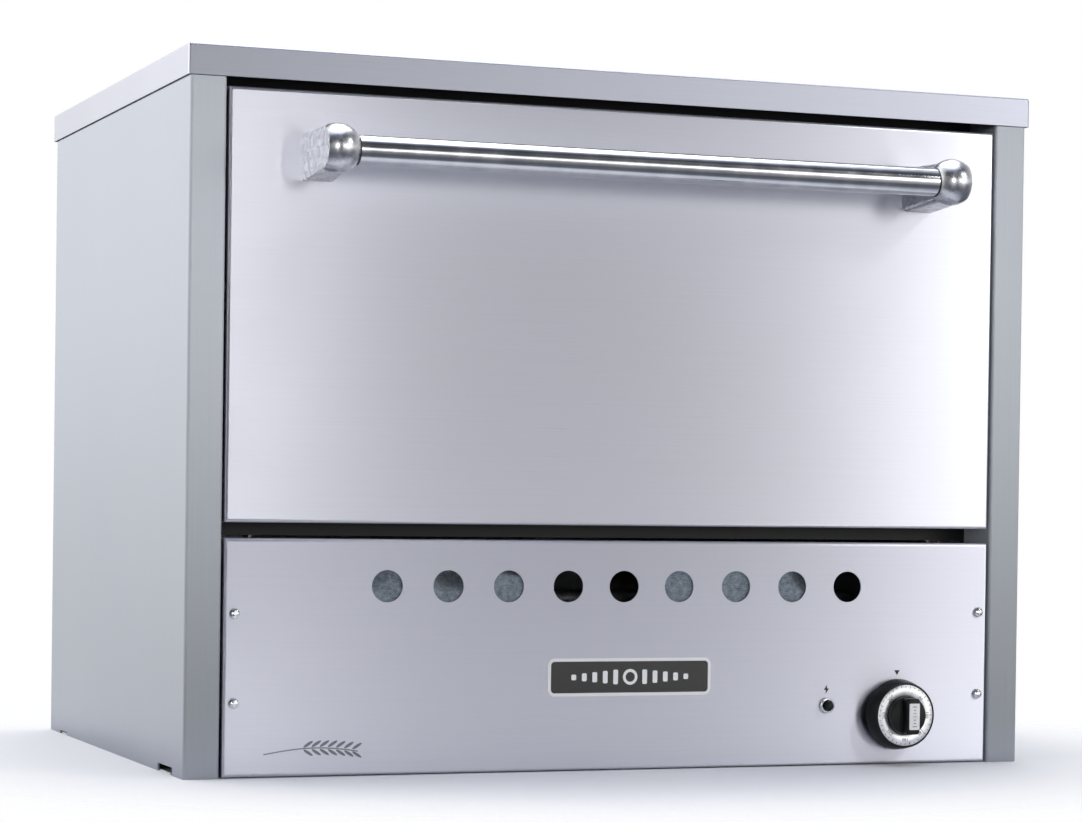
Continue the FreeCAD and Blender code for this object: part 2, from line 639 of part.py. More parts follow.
def manifold():
    """One pipe, up out of the valve and across in front of both burners."""
    body = new_body("gas_manifold")
    y = plus(FRONT, "manifold_back")
    low = plus("knob_height", "valve_above")
    path = sketch_on(body, "manifold_path", "XZ_Plane", minus(y))
    corner_x, corner_z, bend = value("knob_across"), value("burner_height"), value("manifold_bend")
    start_z = value("knob_height") + value("valve_above")
    end_x = -value("manifold_left")
    point = FreeCAD.Vector
    path.addGeometry(Part.LineSegment(point(corner_x, start_z, 0), point(corner_x, corner_z - bend, 0)))
    centre = point(corner_x - bend, corner_z - bend, 0)
    circle = Part.Circle(centre, point(0, 0, 1), bend)
    path.addGeometry(Part.ArcOfCircle(circle, 0, math.pi / 2))
    path.addGeometry(Part.LineSegment(point(corner_x - bend, corner_z, 0), point(end_x, corner_z, 0)))
    path.addConstraint(Sketcher.Constraint("Tangent", 0, 2, 1, 1))
    path.addConstraint(Sketcher.Constraint("Tangent", 1, 2, 2, 1))
    pin_point(path, 0, 1, ("knob_across", low))
    pin_point(path, 2, 2, (minus("manifold_left"), "burner_height"))
    path.addConstraint(Sketcher.Constraint("Vertical", 0))
    tie = path.addConstraint(Sketcher.Constraint("Radius", 1, bend))
    bind(path, "Constraints[%d]" % tie, "manifold_bend")
    ring = sketch_on(body, "manifold_ring", "XY_Plane", low)
    for radius in ("pipe_radius", "pipe_radius - pipe_wall"):
        draw_circle(ring, ("knob_across", y), radius)
    pipe = body.newObject("PartDesign::AdditivePipe", "manifold_pipe")
    pipe.Profile = ring
    pipe.Spine = path
    doc.recompute()
    return node(body, "gas_manifold")


def gas_valve():
    """The thermostat's gas valve, on the axis of its knob, with the supply pipe behind it."""
    centre = ("knob_across", "knob_height")
    x = ("knob_across - valve_half", "knob_across + valve_half")
    z = ("knob_height - valve_below", "knob_height + valve_above")
    shell = block("valve_block", x, (plus(FRONT, "valve_front"), plus(FRONT, "valve_back")), z)
    neck = rod("valve_neck", "y", centre, "neck_radius", plus(FRONT, "sheet"), plus(FRONT, "valve_front"))
    bore = rod("valve_bore", "y", centre, "spindle_radius + run_play", plus(FRONT, "sheet"),
               plus(FRONT, "spindle_back + knob_travel + spindle_end_gap"))
    room = rod("valve_room", "y", centre, "chamber_radius", plus(FRONT, "chamber_start"),
               plus(FRONT, "chamber_end"))
    hollow = fused("valve_hollow", [bore, room])
    node(cut("valve", fused("valve_solid", [shell, neck]), hollow), "thermostat_valve")
    end = plus(BACK, "inlet_reach")
    pipe = rod("supply", "y", centre, "inlet_radius", plus(FRONT, "valve_back"), less(end, "thread_length"))
    thread = rod("supply_thread", "y", centre, "thread_radius", less(end, "thread_length"), end)
    passage = rod("supply_bore", "y", centre, "inlet_bore", plus(FRONT, "valve_back"), end)
    node(cut("supply_pipe", fused("supply_outside", [pipe, thread]), passage), "gas_inlet_pipe")
    collar = hollow_rod("collar", "y", centre, "chamber_radius - seat_gap", "spindle_radius + run_play",
                        plus(FRONT, "collar_start"), plus(FRONT, "collar_start + collar_thick"))
    node(collar, "valve_thrust_collar")


def pilot_set():
    """Pilot jet, spark electrode and flame probe on one holder, with their tube and leads."""
    front = -value("depth") / 2
    bar = front + value("crossbar_front")
    top = "burner_height - burner_radius - seat_gap"
    y = plus(FRONT, "crossbar_front")
    holder = block("holder", ("pilot_across - holder_half", "pilot_across + holder_half"),
                   (y, plus(y, "holder_thick")), (top, plus(top, "holder_tall")))
    node(holder, "pilot_holder")
    high = "pilot_low + pilot_tall"
    jet_y = less(y, "pilot_radius + fit_gap")
    node(rod("pilot_jet", "z", ("pilot_across", jet_y), "pilot_radius", "pilot_low", high), "pilot_burner")
    spark_y = less(y, "electrode_radius + fit_gap")
    node(rod("spark_rod", "z", ("electrode_across", spark_y), "electrode_radius", "pilot_low", high),
         "spark_electrode")
    probe_y = less(y, "probe_radius + fit_gap")
    node(rod("probe", "z", ("probe_across", probe_y), "probe_radius", "pilot_low", high), "thermocouple")

    low = value("pilot_low")
    knob_x, knob_z = value("knob_across"), value("knob_height")
    valve_top = knob_z + value("valve_above")
    gap = value("fit_gap")
    jet_back = bar - value("pilot_radius") - gap
    spark_back = bar - value("electrode_radius") - gap
    probe_back = bar - value("probe_radius") - gap
    pilot_x, spark_x, probe_x = value("pilot_across"), value("electrode_across"), value("probe_across")
    start_x = knob_x - value("pilot_tap_across")
    start_y = front + value("pilot_tap_back")
    crossing = valve_top + value("pilot_tube_rise")
    bend = value("pilot_tube_bend")
    tube_along("pilot_tube", [
        (start_x, start_y, valve_top), (start_x, start_y, crossing),
        (pilot_x, start_y, crossing), (pilot_x, jet_back, crossing), (pilot_x, jet_back, low),
    ], (bend, value("pilot_tube_turn"), bend), value("tube_radius"))
    igniter_x, igniter_z = value("igniter_across"), value("igniter_height")
    igniter_back = front + value("igniter_back")
    turn_y = igniter_back + value("lead_run")
    bend = value("lead_bend")
    tube_along("ignition_lead", [
        (igniter_x, igniter_back, igniter_z), (igniter_x, turn_y, igniter_z),
        (spark_x, turn_y, igniter_z), (spark_x, spark_back, igniter_z),
        (spark_x, spark_back, low),
    ], (value("lead_first_bend"), bend, bend), value("lead_radius"))
    valve_left = knob_x - value("valve_half")
    lead_z = knob_z - value("probe_lead_drop")
    lead_y = front + value("probe_lead_back")
    bend = value("probe_lead_bend")
    tube_along("thermocouple_lead", [
        (probe_x, probe_back, low), (probe_x, probe_back, lead_z),
        (probe_x, lead_y, lead_z), (valve_left, lead_y, lead_z),
    ], (bend, bend), value("tube_radius"))
    bulb_x = value("chamber_half") - value("bulb_radius") - value("seat_gap")
    bulb_y = front + value("bulb_start")
    bulb_z = value("bulb_height")
    through_y = front + value("post_depth") + value("sheet") + value("capillary_inset")
    outside = value("chamber_half") + value("capillary_out")
    entry_z = knob_z + value("capillary_rise")
    bends = (value("capillary_first_bend"), value("capillary_bend"), value("capillary_low_bend"))
    tube_along("capillary_tube", [
        (bulb_x, bulb_y, bulb_z), (bulb_x, through_y, bulb_z), (outside, through_y, bulb_z),
        (outside, through_y, entry_z), (knob_x + value("valve_half"), through_y, entry_z),
    ], bends, value("capillary_radius"))
    start = plus(FRONT, "bulb_start")
    node(rod("bulb", "y", ("chamber_half - bulb_radius - seat_gap", "bulb_height"), "bulb_radius", start,
             plus(start, "bulb_length")), "thermostat_bulb")


# ---- Door ------------------------------------------------------------------------------------

def door_panels():
    front = -value("depth") / 2
    outline = rectangle((minus(DOOR_HALF), DOOR_HALF), ("door_low", DOOR_HIGH))
    inner = rectangle((minus(less(DOOR_HALF, "sheet")), less(DOOR_HALF, "sheet")),
                      ("door_low + sheet", less(DOOR_HIGH, "sheet")))
    body = new_body("door_outer_skin")
    skin = pad(body, "door_outer_skin", "XZ_Plane", outline, FRONT, plus(FRONT, "door_rim"))
    round_edges(body, skin, "door_outer_skin", "bend",
                lambda one, two: near(one.y, front) and near(two.y, front))
    pocket(body, "door_skin_inside", "XZ_Plane", plus(FRONT, "sheet"), plus(FRONT, "door_rim"),
           outlines=[inner])
    screws = [((x, z), "arm_screw_radius + seat_gap") for x, z in arm_screw_spots()]
    pocket(body, "door_skin_screw_holes", "XZ_Plane", FRONT, plus(FRONT, "sheet"), circles=screws)
    pins = [((HINGE_Y, HINGE_Z), "pin_radius + fit_gap")]
    pocket(body, "door_skin_pin_holes", "YZ_Plane", minus(DOOR_HALF), DOOR_HALF, circles=pins)
    node(body, "door_outer_skin")

    body = new_body("door_inner_panel")
    pad(body, "door_inner_panel", "XZ_Plane", outline, plus(FRONT, "door_rim"), plus(FRONT, "door_thick"))
    before = body.Shape.Volume
    hollow = sketch_on(body, "door_inner_hollow_sketch", "XZ_Plane", minus(plus(FRONT, "door_rim")))
    draw_outline(hollow, inner)
    feature = body.newObject("PartDesign::Pocket", "door_inner_hollow")
    feature.Profile = hollow
    bind(feature, "Length", "door_thick - door_rim - sheet")
    doc.recompute()
    if body.Shape.Volume >= before:
        raise ValueError("the door's inner panel is not hollow")
    node(body, "door_inner_panel")

    half = less(DOOR_HALF, "hinge_block_length + 2 * sheet + hinge_clear")
    wool = block("door_wool", (minus(half), half),
                 (plus(FRONT, "sheet + arm_head_high + head_clear"),
                  plus(FRONT, "door_thick - sheet - seat_gap")),
                 ("door_low + door_wool_edge", less(DOOR_HIGH, "door_wool_edge")))
    node(wool, "door_insulation")

    body = new_body("door_gasket")
    inner_half, inner_low = plus("chamber_half", "gasket_inset"), less("chamber_floor", "gasket_inset")
    inner_high = plus("chamber_top", "gasket_inset / 2")
    wide = "gasket_width"
    pad(body, "door_gasket", "XZ_Plane",
        rectangle((minus(plus(inner_half, wide)), plus(inner_half, wide)),
                  (less(inner_low, wide), plus(inner_high, wide))),
        plus(FRONT, "door_thick"), plus(FRONT, "door_thick + gasket_thick"))
    pocket(body, "door_gasket_inside", "XZ_Plane", plus(FRONT, "door_thick"),
           plus(FRONT, "door_thick + gasket_thick"),
           outlines=[rectangle((minus(inner_half), inner_half), (inner_low, inner_high))])
    node(body, "door_gasket")


def hinges():
    """Pin blocks in the door, bearing brackets in the posts and the springs round the pins."""
    centre = (HINGE_Y, HINGE_Z)
    brackets, pins = [], []
    for name, side in (("left", -1), ("right", 1)):
        def span(low, high):
            return (low, high) if side > 0 else (minus(high), minus(low))
        outer = less(DOOR_HALF, "sheet + fit_gap")
        low, high = span(less(outer, "hinge_block_length"), outer)
        heel = block("hinge_block_" + name, (low, high),
                     (plus(FRONT, "sheet + seat_gap"), plus(FRONT, "sheet + seat_gap + hinge_block_deep")),
                     ("door_low + sheet + seat_gap", "door_low + sheet + seat_gap + hinge_block_rise"))
        low, high = span(less(outer, "hinge_block_length / 2"), less(INSIDE, "sheet"))
        shaft = rod("hinge_pin_" + name, "x", centre, "pin_radius", low, high)
        pins.append(fused("hinge_half_" + name, [heel, shaft]))
        low, high = span(less(INSIDE, "bracket_thick"), INSIDE)
        plate = block("hinge_plate_" + name, (low, high),
                      (plus(FRONT, "2 * sheet + bracket_gap"),
                       plus(FRONT, "2 * sheet + bracket_gap + bracket_deep")),
                      (less(HINGE_Z, "bracket_rise / 2"), plus(HINGE_Z, "bracket_rise / 2")))
        hole = rod("hinge_bore_" + name, "x", centre, "pin_radius + run_play", low, high)
        brackets.append(cut("hinge_bracket_" + name, plate, hole))
    node(group("pins", pins), "door_hinge_pins")
    node(group("brackets", brackets), "hinge_brackets")
    coil_radius = value("pin_radius") + value("seat_gap") + value("spring_wire")
    length = value("spring_pitch") * value("spring_turns")
    post_inside = value("width") / 2 - value("post_width") + value("sheet")
    start = post_inside + value("spring_wire") + value("spring_end_gap")
    y = -value("depth") / 2 + value("hinge_back")
    z = value("door_low") + value("hinge_rise")
    for name, side in (("left", -1), ("right", 1)):
        helix = Part.makeHelix(value("spring_pitch"), length, coil_radius)
        section = Part.Wire([Part.Circle(FreeCAD.Vector(coil_radius, 0, 0), FreeCAD.Vector(0, 1, 0),
                                         value("spring_wire")).toShape()])
        spring = doc.addObject("Part::Feature", "spring_" + name)
        spring.Shape = Part.Wire(helix.Edges).makePipeShell([section], True, True)
        first = start if side > 0 else -start - length
        spring.Placement = FreeCAD.Placement(FreeCAD.Vector(first, y, z), TURNS["x"])
        node(spring, "door_spring_" + name)


# ---- Handle ----------------------------------------------------------------------------------

def arm_screw_spots():
    return [(x, z) for x in (minus("arm_middle"), "arm_middle")
            for z in (less(HANDLE_Z, "arm_screw_spread"), plus(HANDLE_Z, "arm_screw_spread"))]


def handle():
    centre = (HANDLE_Y, HANDLE_Z)
    inner_face = "arm_middle - arm_width / 2"
    end = plus(inner_face, "handle_sunk")
    tube = hollow_rod("bar", "x", centre, "handle_radius", "handle_radius - handle_wall", minus(end), end)
    node(tube, "handle_tube")
    nose_y = -value("depth") / 2 - value("arm_reach")
    root_y = -value("depth") / 2
    for name, side in (("left", -1), ("right", 1)):
        def span(low, high):
            return (low, high) if side > 0 else (minus(high), minus(low))
        label = "handle_arm_" + name
        body = new_body(label)
        nose = less(FRONT, "arm_reach")
        outline = [(FRONT, less(HANDLE_Z, "arm_foot_low")), (FRONT, plus(HANDLE_Z, "arm_foot_high")),
                   (nose, plus(HANDLE_Z, "arm_nose_high")), (nose, less(HANDLE_Z, "arm_nose_low"))]
        low, high = span(inner_face, "arm_middle + arm_width / 2")
        arm = pad(body, label, "YZ_Plane", outline, low, high)
        arm = round_edges(body, arm, label + "_nose", "arm_nose_round",
                          lambda one, two: near(one.y, nose_y) and near(two.y, nose_y)
                          and not near(one.x, two.x))
        round_edges(body, arm, label + "_edges", "arm_edge",
                    lambda one, two: near(one.x, two.x) and not (near(one.y, root_y) and near(two.y, root_y)))
        if side > 0:
            before = body.Shape.Volume
            mouth = sketch_on(body, label + "_socket_sketch", "YZ_Plane", inner_face)
            draw_circle(mouth, centre, "handle_radius + fit_gap")
            feature = body.newObject("PartDesign::Pocket", label + "_socket")
            feature.Profile = mouth
            feature.Reversed = True
            bind(feature, "Length", "handle_socket")
            doc.recompute()
            if body.Shape.Volume >= before:
                raise ValueError("the socket cuts nothing")
        else:
            pocket(body, label + "_socket", "YZ_Plane", minus(plus(inner_face, "handle_socket")),
                   minus(inner_face), circles=[(centre, "handle_radius + fit_gap")])
        x = "arm_middle" if side > 0 else minus("arm_middle")
        taps = [((x, z), "arm_screw_radius + run_play")
                for z in (less(HANDLE_Z, "arm_screw_spread"), plus(HANDLE_Z, "arm_screw_spread"))]
        before = body.Shape.Volume
        taps_sketch = sketch_on(body, label + "_taps_sketch", "XZ_Plane", minus(FRONT))
        for spot, radius in taps:
            draw_circle(taps_sketch, spot, radius)
        feature = body.newObject("PartDesign::Pocket", label + "_taps")
        feature.Profile = taps_sketch
        feature.Reversed = True
        bind(feature, "Length", "arm_screw_deep + arm_tap_spare")
        doc.recompute()
        if body.Shape.Volume >= before:
            raise ValueError("the tapped holes cut nothing")
        node(body, label)
    screws = []
    for number, (x, z) in enumerate(arm_screw_spots()):
        name = "arm_screw_%d" % number
        shank = rod(name + "_shank", "y", (x, z), "arm_screw_radius", less(FRONT, "arm_screw_deep"),
                    plus(FRONT, "sheet"))
        head = rod(name + "_head", "y", (x, z), "arm_head_radius", plus(FRONT, "sheet"),
                   plus(FRONT, "sheet + arm_head_high"))
        screws.append(fused(name, [shank, head]))
    node(group("arm_screws", screws), "handle_arm_screws")


# ---- Controls --------------------------------------------------------------------------------

def knob():
    centre = ("knob_across", "knob_height")
    base = less(FRONT, "knob_gap")
    rim = less(base, "knob_skirt")
    skirt = doc.addObject("Part::Cone", "knob_skirt")
    bind(skirt, "Radius1", "knob_rim_radius")
    bind(skirt, "Radius2", "knob_base_radius")
    bind(skirt, "Height", "knob_skirt")
    place_round(skirt, "y", centre, rim)
    hub = rod("knob_hub", "y", centre, "hub_radius", less(rim, "hub_high"), rim)
    face = less(rim, "hub_high")
    grip_half = "sqrt(hub_radius * hub_radius - grip_thick * grip_thick / 4)"
    tip = less(face, "grip_high")
    grip = block("knob_grip", ("knob_across - grip_thick / 2", "knob_across + grip_thick / 2"), (tip, face),
                 (less("knob_height", grip_half), plus("knob_height", grip_half)))
    bore = rod("knob_bore", "y", centre, "spindle_radius + fit_gap / 2",
               less(FRONT, "spindle_front + fit_gap"), base)
    node(cut("knob_moulding", fused("knob_body", [skirt, hub, grip]), bore), "thermostat_knob")
    ring = hollow_rod("dial", "y", centre, "dial_radius", "hub_radius + fit_gap",
                      less(rim, "dial_thick"), rim)
    node(ring, "dial_ring")
    half = "inlay_width / 2"
    inlay = block("inlay", (less("knob_across", half), plus("knob_across", half)),
                  (less(tip, "inlay_thick"), tip),
                  (less("knob_height", "inlay_tall / 2"), plus("knob_height", "inlay_tall / 2")))
    node(inlay, "knob_inlay")
    spindle = rod("spindle", "y", centre, "spindle_radius", less(FRONT, "spindle_front"),
                  plus(FRONT, "spindle_back"))
    node(spindle, "valve_spindle")


def igniter():
    centre = ("igniter_across", "igniter_height")
    cap = rod("button_cap", "y", centre, "button_radius", less(FRONT, "button_front"),
              less(FRONT, "button_back"))
    stem = rod("button_stem", "y", centre, "plunger_radius", less(FRONT, "button_back"),
               plus(FRONT, "plunger_back"))
    node(fused("button", [cap, stem]), "igniter_button")
    bezel = hollow_rod("bezel", "y", centre, "bezel_radius", "button_radius + button_play",
                       less(FRONT, "bezel_high"), FRONT)
    node(bezel, "igniter_bezel")
    shell = rod("igniter_shell", "y", centre, "igniter_radius", plus(FRONT, "sheet"),
                plus(FRONT, "igniter_back"))
    bore = rod("igniter_bore", "y", centre, "plunger_radius + run_play", plus(FRONT, "sheet"),
               plus(FRONT, "plunger_bore_back"))
    node(cut("igniter", shell, bore), "igniter_body")


side_panel("left_side_panel", -1)
side_panel("right_side_panel", 1)
top_cover()
back_panel()
base_pan()
control_panel()
panel_screws_and_tabs()
badge()
front_frame()
chamber()
hearth()
insulation()
burners()
manifold()
gas_valve()
pilot_set()
door_panels()
hinges()
handle()
knob()
igniter()
doc.recompute()

for obj in doc.Objects:
    if "Invalid" in obj.State or "Error" in obj.State:
        raise ValueError("%s did not build: %s" % (obj.Name, obj.State))
for obj in nodes:
    if obj.Shape.isNull() or not obj.Shape.isValid():
        raise ValueError(obj.Label + " has no valid shape")

os.makedirs("parts", exist_ok=True)
for obj in nodes:
    obj.Shape.exportStep("parts/%s.step" % obj.Label)
print("wrote", len(nodes), "sub-parts")
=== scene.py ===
import bpy
import bmesh
import json
import math
from mathutils import Matrix, Vector, noise


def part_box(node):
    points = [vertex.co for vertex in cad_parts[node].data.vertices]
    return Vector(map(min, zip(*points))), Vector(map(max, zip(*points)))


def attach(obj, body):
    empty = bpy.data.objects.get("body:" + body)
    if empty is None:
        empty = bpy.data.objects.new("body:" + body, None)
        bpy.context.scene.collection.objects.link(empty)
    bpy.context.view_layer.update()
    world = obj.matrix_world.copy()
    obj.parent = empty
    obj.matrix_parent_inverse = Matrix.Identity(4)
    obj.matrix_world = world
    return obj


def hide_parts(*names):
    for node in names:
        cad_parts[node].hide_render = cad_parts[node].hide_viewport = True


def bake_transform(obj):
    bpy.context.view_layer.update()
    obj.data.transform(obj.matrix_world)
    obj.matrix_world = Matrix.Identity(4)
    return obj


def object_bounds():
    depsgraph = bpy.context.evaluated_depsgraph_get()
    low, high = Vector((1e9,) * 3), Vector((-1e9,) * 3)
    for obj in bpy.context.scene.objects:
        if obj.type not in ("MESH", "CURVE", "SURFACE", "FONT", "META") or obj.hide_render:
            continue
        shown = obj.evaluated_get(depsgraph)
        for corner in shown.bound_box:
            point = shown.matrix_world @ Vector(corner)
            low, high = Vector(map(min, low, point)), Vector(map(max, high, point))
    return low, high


# Table-top gas stone oven in brushed stainless steel.
# Metres, the front towards -Y. Every place comes from the CAD nodes' own boxes.
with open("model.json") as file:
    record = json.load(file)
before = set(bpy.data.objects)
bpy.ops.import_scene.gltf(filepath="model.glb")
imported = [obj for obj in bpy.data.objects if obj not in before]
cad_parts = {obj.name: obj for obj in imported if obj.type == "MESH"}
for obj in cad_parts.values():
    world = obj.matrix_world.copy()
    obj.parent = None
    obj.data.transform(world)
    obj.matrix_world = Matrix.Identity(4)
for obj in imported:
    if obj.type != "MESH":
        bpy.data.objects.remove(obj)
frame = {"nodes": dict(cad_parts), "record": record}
cadNodes = frame["nodes"]
cadBox = [list(corner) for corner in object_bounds()]
scene = bpy.context.scene
scene.view_settings.view_transform = "Standard"
mm = 0.001

casingLow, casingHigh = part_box("left_side_panel")[0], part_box("right_side_panel")[1]
frontY = casingLow.y
print("frame loaded,", len(cadNodes), "nodes")


# camera
cameraSetup = {
    "place": (-1.0195, -2.7227, 0.2461),
    "turnRight": 20.98,   # degrees from straight ahead
    "tiltUp": -0.72,
    "roll": 0.77,
    "lens": 99.3,         # on a 36 mm sensor
    "shiftUp": 0.11,
    "seesTo": 60,
}


def makeCamera(setup):
    data = bpy.data.cameras.new("camera")
    data.lens = setup["lens"]
    data.shift_y = setup["shiftUp"]
    data.clip_end = setup["seesTo"]
    camera = bpy.data.objects.new("camera", data)
    scene.collection.objects.link(camera)
    turn = Matrix.Rotation(math.radians(-setup["turnRight"]), 4, "Z")
    tilt = Matrix.Rotation(math.radians(90 + setup["tiltUp"]), 4, "X")
    roll = Matrix.Rotation(math.radians(setup["roll"]), 4, "Z")
    camera.matrix_world = Matrix.Translation(setup["place"]) @ turn @ tilt @ roll
    scene.camera = camera


makeCamera(cameraSetup)


# materials
def hexColour(text):
    channels = [int(text[i:i + 2], 16) / 255 for i in (1, 3, 5)]
    linear = [c / 12.92 if c <= 0.04045 else ((c + 0.055) / 1.055) ** 2.4 for c in channels]
    return (*linear, 1.0)


def addNode(tree, kind, settings=None, links=None):
    node = tree.nodes.new(kind)
    for name, setting in (settings or {}).items():
        if isinstance(name, int) or name in node.inputs:
            node.inputs[name].default_value = setting
        else:
            setattr(node, name, setting)
    for name, source in (links or {}).items():
        tree.links.new(source, node.inputs[name])
    return node


def startMaterial(name, settings):
    material = bpy.data.materials.new(name)
    material.use_nodes = True
    tree = material.node_tree
    shader = tree.nodes["Principled BSDF"]
    for socket, setting in settings.items():
        shader.inputs[socket].default_value = setting
    place = addNode(tree, "ShaderNodeTexCoord").outputs["Object"]
    return material, tree, shader, place


def pattern(tree, place, scale, detail=3.0, roughness=0.5):
    stretched = addNode(tree, "ShaderNodeMapping", {"Scale": scale}, {"Vector": place})
    return addNode(tree, "ShaderNodeTexNoise", {"Scale": 1.0, "Detail": detail, "Roughness": roughness},
                   {"Vector": stretched.outputs["Vector"]}).outputs["Fac"]


def spread(tree, source, low, high, start=0.3, stop=0.7):
    return addNode(tree, "ShaderNodeMapRange", {1: start, 2: stop, 3: low, 4: high}, {0: source}).outputs[0]


def tint(tree, source, darkHex, lightHex, start=0.3, stop=0.7):
    ramp = addNode(tree, "ShaderNodeValToRGB", links={"Fac": source})
    ramp.color_ramp.elements[0].position = start
    ramp.color_ramp.elements[0].color = hexColour(darkHex)
    ramp.color_ramp.elements[1].position = stop
    ramp.color_ramp.elements[1].color = hexColour(lightHex)
    return ramp.outputs["Color"]


def bump(tree, shader, height, strength, depth):
    lift = addNode(tree, "ShaderNodeBump", {"Strength": strength, "Distance": depth}, {"Height": height})
    tree.links.new(lift.outputs["Normal"], shader.inputs["Normal"])


def brushedStainless(name, grain, across, dark, light, rough=0.34, anisotropy=1.0, streak=0.03):
    # AISI 430 sheet with a number 4 finish: its scratches all lie one way and draw each light
    # out across them
    material, tree, shader, place = startMaterial(
        name, {"Metallic": 1.0, "Roughness": rough, "Anisotropic": anisotropy})
    grainLength, grainWidth = 160 * mm, 0.7 * mm   # real scratches are 0.1 mm wide, drawn coarser to show
    fine = [1 / grainWidth] * 3
    fine["XYZ".index(grain)] = 1 / grainLength
    scratches = pattern(tree, place, fine, detail=4.0, roughness=0.65)
    wiped = pattern(tree, place, (4, 4, 4), detail=2.0)   # wiping marks, about 250 mm across
    mixed = addNode(tree, "ShaderNodeMix", {"Factor": 0.5}, {2: scratches, 3: wiped}).outputs[0]
    tree.links.new(tint(tree, mixed, dark, light), shader.inputs["Base Color"])
    tree.links.new(spread(tree, mixed, rough - streak, rough + streak), shader.inputs["Roughness"])
    drawnOut = addNode(tree, "ShaderNodeCombineXYZ", dict(zip("XYZ", across)))
    tree.links.new(drawnOut.outputs["Vector"], shader.inputs["Tangent"])
    bump(tree, shader, scratches, 0.04, 0.1 * mm)
    return material


def plainMetal(name, dark, light, rough, grainSize=4 * mm, lift=0.1):
    # mill or zinc finish: a soft mottle and no brushing
    material, tree, shader, place = startMaterial(name, {"Metallic": 1.0, "Roughness": rough})
    mottle = pattern(tree, place, [1 / grainSize] * 3, detail=4.0)
    tree.links.new(tint(tree, mottle, dark, light), shader.inputs["Base Color"])
    tree.links.new(spread(tree, mottle, rough - 0.06, rough + 0.08), shader.inputs["Roughness"])
    bump(tree, shader, mottle, lift, 0.05 * mm)
    return material


def mouldedPlastic(name, dark, light, rough, grainSize=0.5 * mm, coat=0.0, shine=0.5):
    # phenolic moulding: dense, a little waxy, with a fine eggshell skin
    material, tree, shader, place = startMaterial(
        name, {"Roughness": rough, "IOR": 1.55, "Coat Weight": coat, "Specular IOR Level": shine})
    skin = pattern(tree, place, [1 / grainSize] * 3, detail=2.0)
    tree.links.new(tint(tree, skin, dark, light), shader.inputs["Base Color"])
    tree.links.new(spread(tree, skin, rough - 0.04, rough + 0.06), shader.inputs["Roughness"])
    bump(tree, shader, skin, 0.06, 0.05 * mm)
    return material


def enamel(name, dark, light, rough):
    # baked enamel: glassy, with a faint orange peel
    material, tree, shader, place = startMaterial(name, {"Roughness": rough, "IOR": 1.5})
    peel = pattern(tree, place, [1 / (2.5 * mm)] * 3, detail=1.0)
    tree.links.new(tint(tree, peel, dark, light), shader.inputs["Base Color"])
    bump(tree, shader, peel, 0.08, 0.1 * mm)
    return material


def fibreWool(name, dark, light):
    # needled ceramic fibre: matt, clotted, with strands lying every way
    material, tree, shader, place = startMaterial(name, {"Roughness": 0.95, "Sheen Weight": 0.3})
    clots = pattern(tree, place, [1 / (4 * mm)] * 3, detail=6.0, roughness=0.7)
    strands = pattern(tree, place, (1 / (6 * mm), 1 / (1 * mm), 1 / (0.8 * mm)), detail=4.0, roughness=0.8)
    both = addNode(tree, "ShaderNodeMix", {"Factor": 0.5}, {2: clots, 3: strands}).outputs[0]
    tree.links.new(tint(tree, both, dark, light, 0.35, 0.65), shader.inputs["Base Color"])
    bump(tree, shader, both, 0.8, 1.0 * mm)
    return material


def firedStone(name):
    # cordierite hearth slab: pale, sandy, speckled with darker grog
    material, tree, shader, place = startMaterial(name, {"Roughness": 0.9})
    sand = pattern(tree, place, [1 / (1.2 * mm)] * 3, detail=5.0, roughness=0.7)
    grog = addNode(tree, "ShaderNodeTexVoronoi", {"Scale": 1 / (6 * mm)}, {"Vector": place})
    flecks = spread(tree, grog.outputs["Distance"], 1.0, 0.0, 0.05, 0.25)
    base = tint(tree, sand, "#B39C7C", "#D9C8AC")
    mixed = addNode(tree, "ShaderNodeMix", {"data_type": "RGBA", 7: hexColour("#8A745A")},
                    {0: flecks, 6: base}).outputs[2]
    tree.links.new(mixed, shader.inputs["Base Color"])
    bump(tree, shader, sand, 0.35, 0.3 * mm)
    return material


